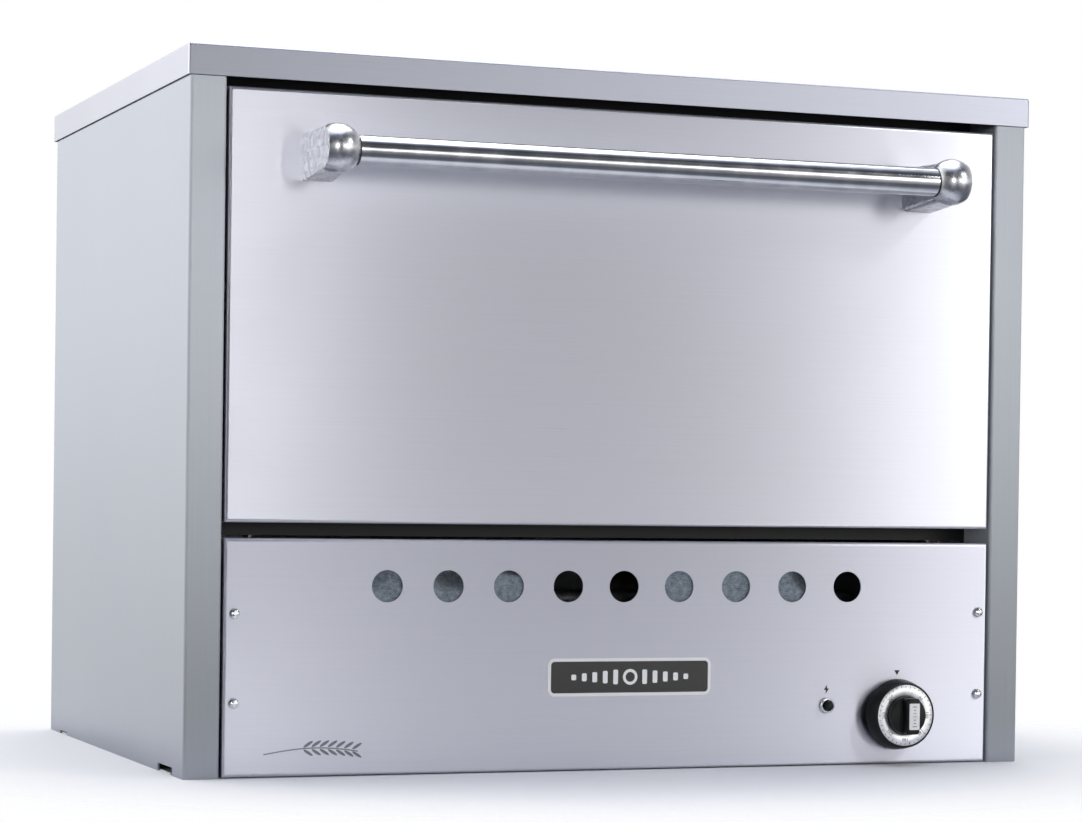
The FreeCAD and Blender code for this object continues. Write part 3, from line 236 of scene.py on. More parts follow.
finish = {
    "door": brushedStainless("brushedStainlessAcross", "X", (0, 0, 1), "#D8D9E4", "#E1E2EB", rough=0.30),
    "panel": brushedStainless("brushedStainlessPanel", "X", (0, 0, 1), "#CCCDD9", "#D5D6E0", rough=0.34),
    "lid": brushedStainless("brushedStainlessLid", "X", (0, 0.05, 1), "#B8BAC6", "#C4C6D1",
                             rough=0.42, anisotropy=0.6),
    # the sides and their front posts get a much darker base than the door's steel: painted shade for the
    # darker look of the upright grain
    "side": brushedStainless("satinStainlessPaintedShade", "Z", (1, 1, 0), "#9EA2AB", "#AAAFB7", rough=0.42),
    "zinc": plainMetal("galvanisedSheet", "#9BA0A4", "#C3C7CA", 0.45, grainSize=14 * mm),
    "chamber": plainMetal("aluminisedSheet", "#8F8F8E", "#B0AFAC", 0.5, grainSize=9 * mm),
    "mill": plainMetal("millSteel", "#6A6A6C", "#8C8C8E", 0.5),
    "burner": plainMetal("heatTintedSteel", "#6E6458", "#9A8E80", 0.42, grainSize=12 * mm),
    "pipe": plainMetal("pipeSteel", "#54555A", "#77787C", 0.45),
    "spring": plainMetal("oiledSpringSteel", "#3E3E42", "#606066", 0.35, grainSize=2 * mm),
    "brass": plainMetal("machinedBrass", "#B08C48", "#D2B06A", 0.28, grainSize=3 * mm),
    "copper": plainMetal("drawnCopper", "#B56E48", "#D8936C", 0.3, grainSize=5 * mm),
    "chrome": plainMetal("chromePlate", "#D9DBE0", "#F2F3F5", 0.1, grainSize=20 * mm, lift=0.01),
    "casting": plainMetal("polishedCastAluminium", "#D4D5DB", "#EEEFF3", 0.27, grainSize=7 * mm, lift=0.05),
    "screw": plainMetal("brightZincPlate", "#C4C7CC", "#EDEEF0", 0.2, grainSize=2 * mm),
    "dial": plainMetal("printedDialDisc", "#D4D5DA", "#F0F0F2", 0.35, grainSize=6 * mm),
    "bakelite": mouldedPlastic("blackBakelite", "#040506", "#0B0D10", 0.36, shine=0.25),
    "blackInk": mouldedPlastic("blackScreenInk", "#101114", "#1E1F24", 0.5),
    "greyInk": mouldedPlastic("greyEtch", "#5E6068", "#7C7E86", 0.5),
    "whiteInk": mouldedPlastic("whitePrint", "#E9E9EA", "#F7F7F7", 0.4),
    "badge": mouldedPlastic("glossBlackPlate", "#060608", "#101014", 0.15, coat=0.4),
    "plastic": mouldedPlastic("nylonBody", "#17181A", "#2A2B2E", 0.45),
    "sleeve": mouldedPlastic("siliconeSleeve", "#7A1E16", "#A02A20", 0.5),
    "ceramic": enamel("glazedPorcelain", "#DAD8D0", "#EFEDE6", 0.15),
    "enamel": enamel("blackStoveEnamel", "#030304", "#08090A", 0.5),
    # the fibre's tone varies at random, and the whole is coloured a dark blue-grey as painted shade for the
    # wool seen in shadow behind the air holes
    "wool": fibreWool("ceramicFibrePaintedShade", "#414D58", "#A4AFBA"),
    "gasket": fibreWool("glassFibreTape", "#A49F92", "#D6D1C4"),
    "stone": firedStone("firedHearthStone"),
}

slotFinish = {
    "stainless_brushed": "door", "stainless_satin": "side", "zinc_sheet": "zinc", "black_enamel": "enamel",
    "chamber_steel": "chamber", "hearth_stone": "stone", "frame_steel": "mill", "spring_steel": "spring",
    "burner_steel": "burner", "ceramic_wool": "wool", "chrome_tube": "chrome", "cast_aluminium": "casting",
    "zinc_screw": "screw", "bakelite_black": "bakelite", "dial_aluminium": "dial",
    "inlay_white": "whiteInk", "brass": "brass", "pipe_steel": "pipe", "copper_tube": "copper",
    "gasket_cord": "gasket", "badge_black": "badge", "electrode_ceramic": "ceramic",
    "igniter_plastic": "plastic", "lead_sleeve": "sleeve",
}
for part in frame["record"]["subparts"]:
    mesh = cadNodes[part["node"]].data
    mesh.materials.clear()
    mesh.materials.append(finish[slotFinish[part["material_slot"]]])
cadNodes["top_cover"].data.materials[0] = finish["lid"]
print("materials made,", len(finish))


# mesh helpers
mergeGap = 0.01 * mm     # corners of one CAD solid that lie closer than this are one corner
latheGap = 0.005 * mm


def finishPiece(bm, name, body, material, smooth=True, angle=35):
    bmesh.ops.recalc_face_normals(bm, faces=bm.faces)
    mesh = bpy.data.meshes.new(name)
    bm.to_mesh(mesh)
    bm.free()
    piece = bpy.data.objects.new(name, mesh)
    scene.collection.objects.link(piece)
    mesh.materials.append(material)
    if smooth:
        mesh.shade_smooth()
        mesh.set_sharp_from_angle(angle=math.radians(angle))
    if body:
        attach(piece, body)
    return piece


def moveAll(bm, matrix):
    bmesh.ops.transform(bm, matrix=matrix, verts=bm.verts)


def turnToFront(point):
    # lathe work is drawn along +Z and stands out towards -Y
    return Matrix.Translation(point) @ Matrix.Rotation(math.radians(90), 4, "X")


def turnAcross(point, direction=1):
    # lathe work that lies along X, to the right or, with -1, to the left
    return Matrix.Translation(point) @ Matrix.Rotation(math.radians(90 * direction), 4, "Y")


def addInto(bm, part):
    scrap = bpy.data.meshes.new("scrap")
    part.to_mesh(scrap)
    part.free()
    bm.from_mesh(scrap)
    bpy.data.meshes.remove(scrap)


def cadCopy(label):
    bm = bmesh.new()
    bm.from_mesh(cadNodes[label].data)
    bmesh.ops.remove_doubles(bm, verts=bm.verts, dist=mergeGap)
    return bm


def latheProfile(bm, points, steps=64):
    # points are (radius, height) along +Z, from the axis or a bore to the axis or a bore
    corners = [bm.verts.new((radius, 0, height)) for radius, height in points]
    edges = [bm.edges.new(pair) for pair in zip(corners, corners[1:])]
    bmesh.ops.spin(bm, geom=corners + edges, cent=(0, 0, 0), axis=(0, 0, 1), angle=math.tau, steps=steps,
                   use_merge=True, use_duplicate=False)
    bmesh.ops.remove_doubles(bm, verts=bm.verts, dist=latheGap)


def roundedBlock(bm, low, high, radius, segments=4):
    made = bmesh.ops.create_cube(bm, size=1)["verts"]
    size = Vector(high) - Vector(low)
    bmesh.ops.scale(bm, vec=size, verts=made)
    bmesh.ops.translate(bm, vec=Vector(low) + size / 2, verts=made)
    edges = list({edge for corner in made for edge in corner.link_edges})
    bmesh.ops.bevel(bm, geom=edges, offset=radius, offset_type="OFFSET", segments=segments, profile=0.5,
                    affect="EDGES", material=-1, clamp_overlap=True)


def roundedOutline(width, height, radius, steps=8):
    # a closed run of points round a rectangle with arcs at its corners, in XZ, centred
    points = []
    for quarter, (sideX, sideZ) in enumerate(((1, 1), (-1, 1), (-1, -1), (1, -1))):
        centre = Vector((sideX * (width / 2 - radius), 0, sideZ * (height / 2 - radius)))
        for step in range(steps + 1):
            angle = math.radians(90 * (quarter + step / steps))
            points.append(centre + Vector((radius * math.cos(angle), 0, radius * math.sin(angle))))
    return points


def plateFrom(bm, points, centre, thick, bevel=0.0):
    # a flat plate whose back lies at centre and whose face stands out towards -Y
    face = bm.faces.new([bm.verts.new(Vector(centre) + point) for point in points])
    made = bmesh.ops.extrude_face_region(bm, geom=[face])["geom"]
    moved = [part for part in made if isinstance(part, bmesh.types.BMVert)]
    bmesh.ops.translate(bm, vec=(0, -thick, 0), verts=moved)
    if bevel:
        rim = [edge for part in made if isinstance(part, bmesh.types.BMFace) for edge in part.edges]
        bmesh.ops.bevel(bm, geom=rim, offset=bevel, offset_type="OFFSET", segments=2, profile=0.5,
                        affect="EDGES", material=-1, clamp_overlap=True)


def combine(piece, bm, operation):
    # joins a second shape to a piece, or cuts it away
    bmesh.ops.recalc_face_normals(bm, faces=bm.faces)
    mesh = bpy.data.meshes.new("tool")
    bm.to_mesh(mesh)
    bm.free()
    tool = bpy.data.objects.new("tool", mesh)
    scene.collection.objects.link(tool)
    step = piece.modifiers.new("combine", "BOOLEAN")
    step.operation = operation
    step.solver = "EXACT"
    step.object = tool
    bpy.context.view_layer.update()
    result = bpy.data.meshes.new_from_object(piece.evaluated_get(bpy.context.evaluated_depsgraph_get()))
    piece.modifiers.clear()
    result.shade_smooth()
    result.set_sharp_from_angle(angle=math.radians(30))
    piece.data = result
    bpy.data.objects.remove(tool)


# the broken edge of guillotined sheet, and the lid's welded and dressed corners
edgeShape = {"round": 0.35 * mm, "foldAngle": 40, "flatAngle": 0.5}
lidEdgeShape = {"round": 0.7 * mm, "foldAngle": 40, "flatAngle": 0.5}


def softenEdges(label, body, material, shape):
    # the CAD sheet again, with its flats made whole and its sharp edges broken
    bm = cadCopy(label)
    bmesh.ops.dissolve_limit(bm, angle_limit=math.radians(shape["flatAngle"]), verts=bm.verts,
                             edges=bm.edges, delimit={"NORMAL"})
    sharp = [edge for edge in bm.edges if edge.is_manifold
             and edge.calc_face_angle() > math.radians(shape["foldAngle"])]
    bmesh.ops.bevel(bm, geom=sharp, offset=shape["round"], offset_type="OFFSET", segments=2, profile=0.5,
                    affect="EDGES", material=-1, clamp_overlap=True)
    piece = finishPiece(bm, label + "_sheet", body, material, angle=50)
    even = piece.modifiers.new("even", "WEIGHTED_NORMAL")
    even.keep_sharp = True
    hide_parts(label)


sheetWork = (
    ("top_cover", "casing", "stainless_brushed", "lid"),
    ("left_side_panel", "casing", "stainless_satin", "side"),
    ("right_side_panel", "casing", "stainless_satin", "side"),
    ("control_panel", "casing", "stainless_brushed", "panel"),
    ("door_outer_skin", "door", "stainless_brushed", "door"),
)
for label, body, slot, kind in sheetWork:
    softenEdges(label, body, finish[kind], lidEdgeShape if kind == "lid" else edgeShape)
print("sheet metal made")


# handle
handleShape = {
    "tubeSides": 96,
    "tubeChamfer": 1 * mm,
    "ballInset": 12 * mm,        # from the arm's flat outer side to the middle of its ball
    "arcSteps": 20,
    "neckWide": 25 * mm,
    "innerEdge": 6 * mm,
    "outerEdge": 0.8 * mm,
    "footDrop": 3 * mm,          # the foot's top below the top of the ball
    "seamWide": 0.9 * mm,
    "seamOut": 0.4 * mm,
    "notch": (13 * mm, 1.6 * mm, 1.5 * mm),   # long, high and deep, on the inner flank
    "notchDrop": 7 * mm,
    "notchForward": 10 * mm,
}


def makeHandleTube(shape):
    low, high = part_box("handle_tube")
    middle = (low + high) / 2
    radius = (high.z - low.z) / 2
    length = high.x - low.x
    bm = bmesh.new()
    cut = shape["tubeChamfer"]
    latheProfile(bm, [(0, 0), (radius - cut, 0), (radius, cut), (radius, length - cut),
                      (radius - cut, length), (0, length)], steps=shape["tubeSides"])
    moveAll(bm, turnAcross((low.x, middle.y, middle.z)))
    piece = finishPiece(bm, "handle_bar", "door", finish["chrome"])
    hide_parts("handle_tube")


def makeHandleArm(side, shape):
    # a die-cast arm: a ball that takes the tube, on a neck that widens to its foot on the door
    label = "handle_arm_" + side
    low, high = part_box(label)
    tubeLow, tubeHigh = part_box("handle_tube")
    axis = (tubeLow + tubeHigh) / 2
    tubeRadius = (tubeHigh.z - tubeLow.z) / 2
    outer, inward = (low.x, 1) if side == "left" else (high.x, -1)
    ball = axis.y - low.y
    ballZ = high.z - ball
    inset, edge = shape["ballInset"], shape["outerEdge"]
    flat = math.sqrt(ball ** 2 - inset ** 2)
    start, stop = -math.asin(inset / ball), math.acos(tubeRadius / ball)
    profile = [(0, 0), (flat - edge, 0)]
    for step in range(shape["arcSteps"] + 1):
        angle = start + (stop - start) * step / shape["arcSteps"]
        profile.append((ball * math.cos(angle), inset + ball * math.sin(angle)))
    profile += [(tubeRadius - 2 * mm, profile[-1][1]), (0, profile[-1][1])]
    bm = bmesh.new()
    latheProfile(bm, profile, steps=72)
    moveAll(bm, turnAcross((outer, axis.y, ballZ), inward))
    piece = finishPiece(bm, label + "_casting", "door", finish["casting"], angle=30)
    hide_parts(label)

    neck = bmesh.new()
    corners = bmesh.ops.create_cube(neck, size=1)["verts"]
    footWide = high.x - low.x
    for corner in corners:
        atFoot, upper, inner = corner.co.y > 0, corner.co.z > 0, corner.co.x * inward > 0
        wide = footWide if atFoot else shape["neckWide"]
        x = outer + inward * (wide if inner else 0)
        if atFoot:
            corner.co = Vector((x, high.y, high.z - shape["footDrop"] if upper else low.z))
        else:
            corner.co = Vector((x, axis.y, ballZ + (flat if upper else -flat)))
    sideEdges = [edge for edge in neck.edges if abs(edge.verts[0].co.y - edge.verts[1].co.y) > 1 * mm]
    innerEdges = [edge for edge in sideEdges if (edge.verts[0].co.x - outer) * inward > 1 * mm]
    bmesh.ops.bevel(neck, geom=innerEdges, offset=shape["innerEdge"], offset_type="OFFSET", segments=8,
                    profile=0.5, affect="EDGES", material=-1, clamp_overlap=True)
    combine(piece, neck, "UNION")
    long, tall, deep = shape["notch"]
    notch = bmesh.new()
    middleY = (axis.y + high.y) / 2 - shape["notchForward"]
    face = outer + inward * (shape["neckWide"] + 1 * mm)
    bottom = high.z - shape["notchDrop"]
    roundedBlock(notch, (face - 2 * deep, middleY - long / 2, bottom),
                 (face + 2 * deep, middleY + long / 2, bottom + tall), 0.5 * mm, 2)
    combine(piece, notch, "DIFFERENCE")
    # a thin ring of dark plastic where the tube enters the ball: painted shade, the dark line of the crevice
    # at the joint
    bm = bmesh.new()
    mouth = outer + inward * profile[-1][1]
    wide, bore = shape["seamWide"], tubeRadius + 0.05 * mm
    rim = tubeRadius + shape["seamOut"]
    latheProfile(bm, [(bore, -1 * mm), (rim, -1 * mm), (rim, wide - 0.4 * mm), (tubeRadius + 0.3 * mm, wide),
                      (bore, wide), (bore, -1 * mm)])
    moveAll(bm, turnAcross((mouth, axis.y, axis.z), inward))
    finishPiece(bm, label + "_seal", "door", finish["plastic"])


makeHandleTube(handleShape)
for side in ("left", "right"):
    makeHandleArm(side, handleShape)
print("handle made")


# thermostat knob
knobShape = {
    "bevel": 1.2 * mm,
    "hubTop": 1.5 * mm,
    "gripRound": 2.6 * mm,
    "ticks": 36,
    "numbers": ("60", "100", "140", "180", "220", "260", "300"),
    "numberSize": 4.4 * mm,
    "numberLift": 0.1 * mm,
    "numberInset": 0.8 * mm,   # from the middle of the disc's ring towards the hub
    "dialEdge": 1.1 * mm,      # black moulding left showing round the disc
    "ringWide": 10.2 * mm,     # of the disc, from its edge to the hub
    "gripHigh": 10 * mm,       # the grip above the hub
    "gripHalfThick": 6.5 * mm,
    "longTick": 2.6 * mm,
    "shortTick": 1.4 * mm,
    "tickWide": 0.45 * mm,
    "tickInset": 0.8 * mm,
    "inlayMarks": 7,
    "markStep": 3 * mm,
    "markHalfThick": 0.35 * mm,
    "markHalfLong": 2.2 * mm,
    "markHalfShort": 1.1 * mm,
}


def makeKnob(shape):
    low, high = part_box("thermostat_knob")
    dialLow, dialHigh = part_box("dial_ring")
    inlayLow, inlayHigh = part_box("knob_inlay")
    centre = Vector(((low.x + high.x) / 2, high.y, (low.z + high.z) / 2))
    baseRadius = (high.x - low.x) / 2
    dialRadius = (dialHigh.x - dialLow.x) / 2 - shape["dialEdge"]
    rim = high.y - dialHigh.y                   # how far the skirt stands out
    hubRadius = dialRadius - shape["ringWide"]
    hubFace = high.y - inlayHigh.y - shape["gripHigh"]
    top = high.y - dialLow.y                    # the face of the disc
    bevel = shape["bevel"]
    stand = turnToFront(centre)
    bm = bmesh.new()
    latheProfile(bm, [
        (0, 0), (baseRadius - bevel, 0), (baseRadius, bevel * 0.6), (baseRadius - 0.4 * mm, 4 * mm),
        (dialRadius + 1.9 * mm, rim), (dialRadius + 1.5 * mm, top - 0.5 * mm), (dialRadius + 1.0 * mm, top),
        (dialRadius + 0.3 * mm, top), (dialRadius + 0.1 * mm, rim - 0.3 * mm),
        (hubRadius + 0.3 * mm, rim - 0.3 * mm), (hubRadius, rim), (hubRadius, hubFace - shape["hubTop"]),
        (hubRadius - 0.5 * mm, hubFace - 0.4 * mm), (hubRadius - shape["hubTop"], hubFace), (0, hubFace),
    ], steps=96)
    moveAll(bm, stand)
    piece = finishPiece(bm, "knob_skirt", "knob", finish["bakelite"])
    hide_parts("thermostat_knob")

    # the grip stands across the hub, its corners reaching to the hub's own round
    halfThick = shape["gripHalfThick"]
    reach = math.sqrt(hubRadius ** 2 - halfThick ** 2)
    tip = high.y - inlayHigh.y
    bm = bmesh.new()
    roundedBlock(bm, (-halfThick, -reach, hubFace - 3 * mm), (halfThick, reach, tip), shape["gripRound"], 5)
    moveAll(bm, stand)
    finishPiece(bm, "knob_grip", "knob", finish["bakelite"])

    bm = bmesh.new()
    size = inlayHigh - inlayLow
    back = (centre.x, inlayHigh.y, centre.z)
    plateFrom(bm, roundedOutline(size.x, size.z, 0.8 * mm), back, size.y, 0.2 * mm)
    piece = finishPiece(bm, "knob_inlay_plate", "knob", finish["whiteInk"])
    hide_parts("knob_inlay")
    bm = bmesh.new()
    half = shape["markHalfThick"]
    for mark in range(shape["inlayMarks"]):
        z = centre.z + (mark - (shape["inlayMarks"] - 1) / 2) * shape["markStep"]
        wide = shape["markHalfLong"] if mark % 3 == 0 else shape["markHalfShort"]
        roundedBlock(bm, (centre.x - wide, inlayLow.y, z - half),
                     (centre.x + wide, inlayLow.y + 0.1 * mm, z + half), 0.02 * mm, 1)
    finishPiece(bm, "knob_inlay_marks", "knob", finish["blackInk"], smooth=False)

    bm = bmesh.new()
    latheProfile(bm, [(hubRadius + 0.4 * mm, rim - 0.2 * mm), (hubRadius + 0.4 * mm, top - 0.3 * mm),
                      (hubRadius + 0.7 * mm, top - 0.15 * mm), (dialRadius - 0.4 * mm, top - 0.15 * mm),
                      (dialRadius, top - 0.4 * mm), (dialRadius, rim - 0.2 * mm),
                      (hubRadius + 0.4 * mm, rim - 0.2 * mm)], steps=96)
    moveAll(bm, stand)
    piece = finishPiece(bm, "dial_disc", "knob", finish["dial"])
    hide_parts("dial_ring")

    bm = bmesh.new()
    for tick in range(shape["ticks"]):
        angle = math.tau * tick / shape["ticks"]
        long = shape["longTick"] if tick % 4 == 0 else shape["shortTick"]
        made = bmesh.ops.create_cube(bm, size=1)["verts"]
        bmesh.ops.scale(bm, vec=(long, shape["tickWide"], 0.12 * mm), verts=made)
        out = dialRadius - shape["tickInset"] - long / 2
        bmesh.ops.translate(bm, vec=(out, 0, top - 0.1 * mm), verts=made)
        bmesh.ops.rotate(bm, cent=(0, 0, 0), matrix=Matrix.Rotation(angle, 3, "Z"), verts=made)
    moveAll(bm, stand)
    finishPiece(bm, "dial_ticks", "knob", finish["blackInk"], smooth=False)
    return centre, dialLow.y, dialRadius, hubRadius


def writeOnDial(text, name, place, angle, size):
    # a generic number, set with its foot towards the hub
    curve = bpy.data.curves.new(name, "FONT")
    curve.body = text
    curve.size = size
    curve.align_x = "CENTER"
    curve.align_y = "CENTER"
    curve.extrude = 0.05 * mm
    curve.resolution_u = 2
    written = bpy.data.objects.new(name, curve)
    scene.collection.objects.link(written)
    bpy.context.view_layer.update()
    mesh = bpy.data.meshes.new_from_object(written)
    bpy.data.objects.remove(written)
    upright = Matrix.Rotation(math.radians(90), 4, "X")
    mesh.transform(Matrix.Translation(place) @ Matrix.Rotation(angle, 4, "Y") @ upright)
    bm = bmesh.new()
    bm.from_mesh(mesh)
    bpy.data.meshes.remove(mesh)
    finishPiece(bm, name, "knob", finish["blackInk"], smooth=False)


knobCentre, dialFace, dialRadius, hubRadius = makeKnob(knobShape)
for step, number in enumerate(knobShape["numbers"]):
    turned = math.radians(45 + 45 * step)
    middleRadius = (dialRadius + hubRadius) / 2 - knobShape["numberInset"]
    spot = Vector((knobCentre.x + middleRadius * math.sin(turned), dialFace + knobShape["numberLift"],
                   knobCentre.z + middleRadius * math.cos(turned)))
    writeOnDial(number, "dial_number_" + number, spot, turned, knobShape["numberSize"])
print("knob made")


# igniter
igniterShape = {"nutWall": 2.2 * mm, "capGap": 0.5 * mm, "capBack": 2 * mm, "stemRadius": 2.5 * mm}


def makeIgniter(shape):
    low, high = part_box("igniter_bezel")
    centre = Vector(((low.x + high.x) / 2, high.y, (low.z + high.z) / 2))
    radius = (high.x - low.x) / 2
    reach = high.y - low.y
    bore = radius - shape["nutWall"]
    bm = bmesh.new()
    latheProfile(bm, [(bore, 0), (bore, reach - 0.4 * mm), (bore + 0.5 * mm, reach),
                      (radius - 1.2 * mm, reach), (radius - 0.3 * mm, reach - 0.8 * mm),
                      (radius, reach - 1.6 * mm), (radius, 0), (bore, 0)], steps=48)
    moveAll(bm, turnToFront(centre))
    piece = finishPiece(bm, "igniter_nut", "casing", finish["screw"])
    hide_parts("igniter_bezel")
    capLow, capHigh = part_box("igniter_button")
    capRadius = (capHigh.x - capLow.x) / 2 - shape["capGap"]
    front = centre.y - capLow.y
    back = shape["capBack"]
    bm = bmesh.new()
    latheProfile(bm, [(0, back), (capRadius, back), (capRadius, front - 1.4 * mm),
                      (capRadius - 0.5 * mm, front - 0.5 * mm), (capRadius - 1.5 * mm, front),
                      (0, front)], steps=48)
    moveAll(bm, turnToFront(centre))
    finishPiece(bm, "igniter_cap", "igniter", finish["bakelite"])
    bm = bmesh.new()
    inner, stemRadius = capLow.y - capHigh.y + front, shape["stemRadius"]
    latheProfile(bm, [(0, inner), (stemRadius, inner), (stemRadius, back), (0, back)], steps=24)
    moveAll(bm, turnToFront(centre))
    stem = finishPiece(bm, "igniter_plunger", "igniter", finish["plastic"])
    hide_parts("igniter_button")
    return centre


igniterCentre = makeIgniter(igniterShape)
print("igniter made")


# screws
screwShape = {
    "headRadius": 4.6 * mm,
    "headHigh": 3.6 * mm,
    "slotWide": 0.9 * mm,
    "slotDeep": 1.2 * mm,
    "slotReach": 0.62,    # of the head's radius
}


def screwPlaces():
    low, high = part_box("control_panel_screws")
    inset = screwShape["headRadius"]
    return [Vector((x, low.y + screwShape["headHigh"], z)) for x in (low.x + inset, high.x - inset)
            for z in (low.z + inset, high.z - inset)]


def makeScrews(shape):
    bm = bmesh.new()
    radius, reach = shape["headRadius"], shape["headHigh"]
    for place in screwPlaces():
        part = bmesh.new()
        latheProfile(part, [(0, -0.2 * mm), (radius - 0.4 * mm, -0.2 * mm), (radius, 0.2 * mm),
                            (radius, reach * 0.35), (radius * 0.9, reach * 0.68),
                            (radius * 0.66, reach * 0.9), (radius * 0.36, reach * 0.985),
                            (0, reach)], steps=40)
        moveAll(part, turnToFront(place))
        addInto(bm, part)
    piece = finishPiece(bm, "panel_screw_heads", "casing", finish["screw"])
    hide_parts("control_panel_screws")
    # cross recess, cut with a thin bar each way
    half, arm = shape["slotWide"] / 2, radius * shape["slotReach"]
    for long, high in ((arm, half), (half, arm)):
        cutter = bmesh.new()
        for place in screwPlaces():
            top = place.y - reach
            roundedBlock(cutter, (place.x - long, top - 1 * mm, place.z - high),
                         (place.x + long, top + shape["slotDeep"], place.z + high), 0.02 * mm, 1)
        combine(piece, cutter, "DIFFERENCE")


makeScrews(screwShape)
print("screws made")


# badge and printed marks
badgeShape = {
    "rim": 2.9 * mm,
    "corner": 6.3 * mm,
    "inkThick": 0.12 * mm,
    "bars": 5,                 # on each side of the ring
    "firstBar": 14 * mm,
    "barStep": 10 * mm,
    "barWide": 4.6 * mm,
    "barTall": 13 * mm,
    "barShrink": 2 * mm,       # each bar is this much lower than the last
    "ring": (4.4 * mm, 7 * mm),
}


def makeBadge(shape):
    low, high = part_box("badge_plate")
    size = high - low
    centre = Vector(((low.x + high.x) / 2, high.y, (low.z + high.z) / 2))
    plateThick = size.y - shape["inkThick"]
    bm = bmesh.new()
    plateFrom(bm, roundedOutline(size.x, size.z, shape["corner"]), centre, plateThick, 0.25 * mm)
    piece = finishPiece(bm, "badge_border", "casing", finish["whiteInk"])
    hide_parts("badge_plate")
    face = centre - Vector((0, plateThick, 0))
    rim = shape["rim"]
    bm = bmesh.new()
    halfInk = shape["inkThick"] * 0.5
    plateFrom(bm, roundedOutline(size.x - 2 * rim, size.z - 2 * rim, shape["corner"] - rim), face, halfInk)
    finishPiece(bm, "badge_field", "casing", finish["badge"], smooth=False)
    # a plain ornament: a ring between rows of bars
    ink = face - Vector((0, halfInk, 0))
    bm = bmesh.new()
    for sign in (-1, 1):
        for bar in range(shape["bars"]):
            x = sign * (shape["firstBar"] + bar * shape["barStep"])
            tall = shape["barTall"] - bar * shape["barShrink"]
            plateFrom(bm, roundedOutline(shape["barWide"], tall, 1.2 * mm, 4), ink + Vector((x, 0, 0)),
                      halfInk)
    inner, outer = shape["ring"]
    ring = bmesh.new()
    latheProfile(ring, [(inner, 0), (outer, 0), (outer, halfInk), (inner, halfInk), (inner, 0)], 48)
    moveAll(ring, turnToFront(ink))
    addInto(bm, ring)
    finishPiece(bm, "badge_ornament", "casing", finish["whiteInk"], smooth=False)


markShape = {
    "inkThick": 0.1 * mm,
    "arrowSpot": (1.5 * mm, 38 * mm),   # right of and above the knob's centre
    "boltRise": 14.6 * mm,              # above the igniter's centre
    "arrow": ((-2.8, 2.2), (2.8, 2.2), (0, -2.4)),
    "bolt": ((0.4, 4.2), (-2.6, -0.4), (-0.5, -0.4), (-0.9, -4.2), (2.6, 0.9), (0.6, 0.9)),
}


def makeMarks(shape):
    # an arrow over the dial and a spark sign over the igniter
    bm = bmesh.new()
    right, up = shape["arrowSpot"]
    spots = (("arrow", Vector((knobCentre.x + right, frontY, knobCentre.z + up))),
             ("bolt", Vector((igniterCentre.x, frontY, igniterCentre.z + shape["boltRise"]))))
    for sign, spot in spots:
        plateFrom(bm, [Vector((x * mm, 0, z * mm)) for x, z in shape[sign]], spot, shape["inkThick"])
    finishPiece(bm, "printed_marks", "casing", finish["blackInk"], smooth=False)


sprigShape = {
    "place": (70 * mm, 20 * mm),   # in from the casing's left side, and up
    "leaves": 7,
    "length": 84 * mm,
    "rise": 5 * mm,
    "leafLong": 10 * mm,
    "leafWide": 2.6 * mm,
    "leafTurn": 32,
    "line": 0.5 * mm,
    "inkThick": 0.08 * mm,
}


def makeSprig(shape):
    # an etched ear of grain, low on the left of the panel
    inFrom, up = shape["place"]
    start = Vector((casingLow.x + inFrom, frontY, up))
    bm = bmesh.new()
    steps = 24

    def stem(share):
        return start + Vector((shape["length"] * share, 0, shape["rise"] * math.sin(share * math.pi * 0.9)))

    line = shape["line"]
    top = [stem(step / steps) + Vector((0, 0, line)) - start for step in range(steps + 1)]
    under = [stem(step / steps) - Vector((0, 0, line)) - start for step in range(steps, -1, -1)]
    plateFrom(bm, top + under, start, shape["inkThick"])
    for leaf in range(shape["leaves"]):
        share = 0.42 + 0.52 * leaf / (shape["leaves"] - 1)
        for sign in (-1, 1):
            points = []
            for step in range(12):
                angle = math.tau * step / 12
                points.append(Vector((shape["leafLong"] / 2 * (1 + math.cos(angle)), 0,
                                      shape["leafWide"] / 2 * math.sin(angle))))
            tilt = Matrix.Rotation(math.radians(-shape["leafTurn"] * sign), 3, "Y")
            plateFrom(bm, [tilt @ point for point in points], stem(share) + Vector((0, 0, sign * 1.0 * mm)),
                      shape["inkThick"])
    finishPiece(bm, "etched_sprig", "casing", finish["greyInk"], smooth=False)


makeBadge(badgeShape)
makeMarks(markShape)
makeSprig(sprigShape)
print("badge and marks made")


# soft linings
woolShape = {
    "corner": 3 * mm,
    "swell": 1.2 * mm,
    "patch": 26 * mm,
    # hollows in the front pads, where the wool has sunk behind an air hole: across, up, radius
    # and depth, in millimetres
    "hollows": ((-233, 176, 20, 9), (-164, 180, 25, 24), (-107, 188, 19, 17), (178, 176, 20, 10)),
}


def solidBoxes(label):
    # the box of each separate solid in a node, read from a merged copy of its mesh
    bm = cadCopy(label)
    left, boxes = set(bm.verts), []
    while left:
        island, waiting = set(), [left.pop()]
        while waiting:
            corner = waiting.pop()
            island.add(corner)
            for link in corner.link_edges:
                other = link.other_vert(corner)
                if other in left:
                    left.remove(other)
                    waiting.append(other)
        boxes.append((Vector([min(c.co[i] for c in island) for i in range(3)]),
                      Vector([max(c.co[i] for c in island) for i in range(3)])))
    bm.free()
    return sorted(boxes, key=lambda box: tuple(box[0]))


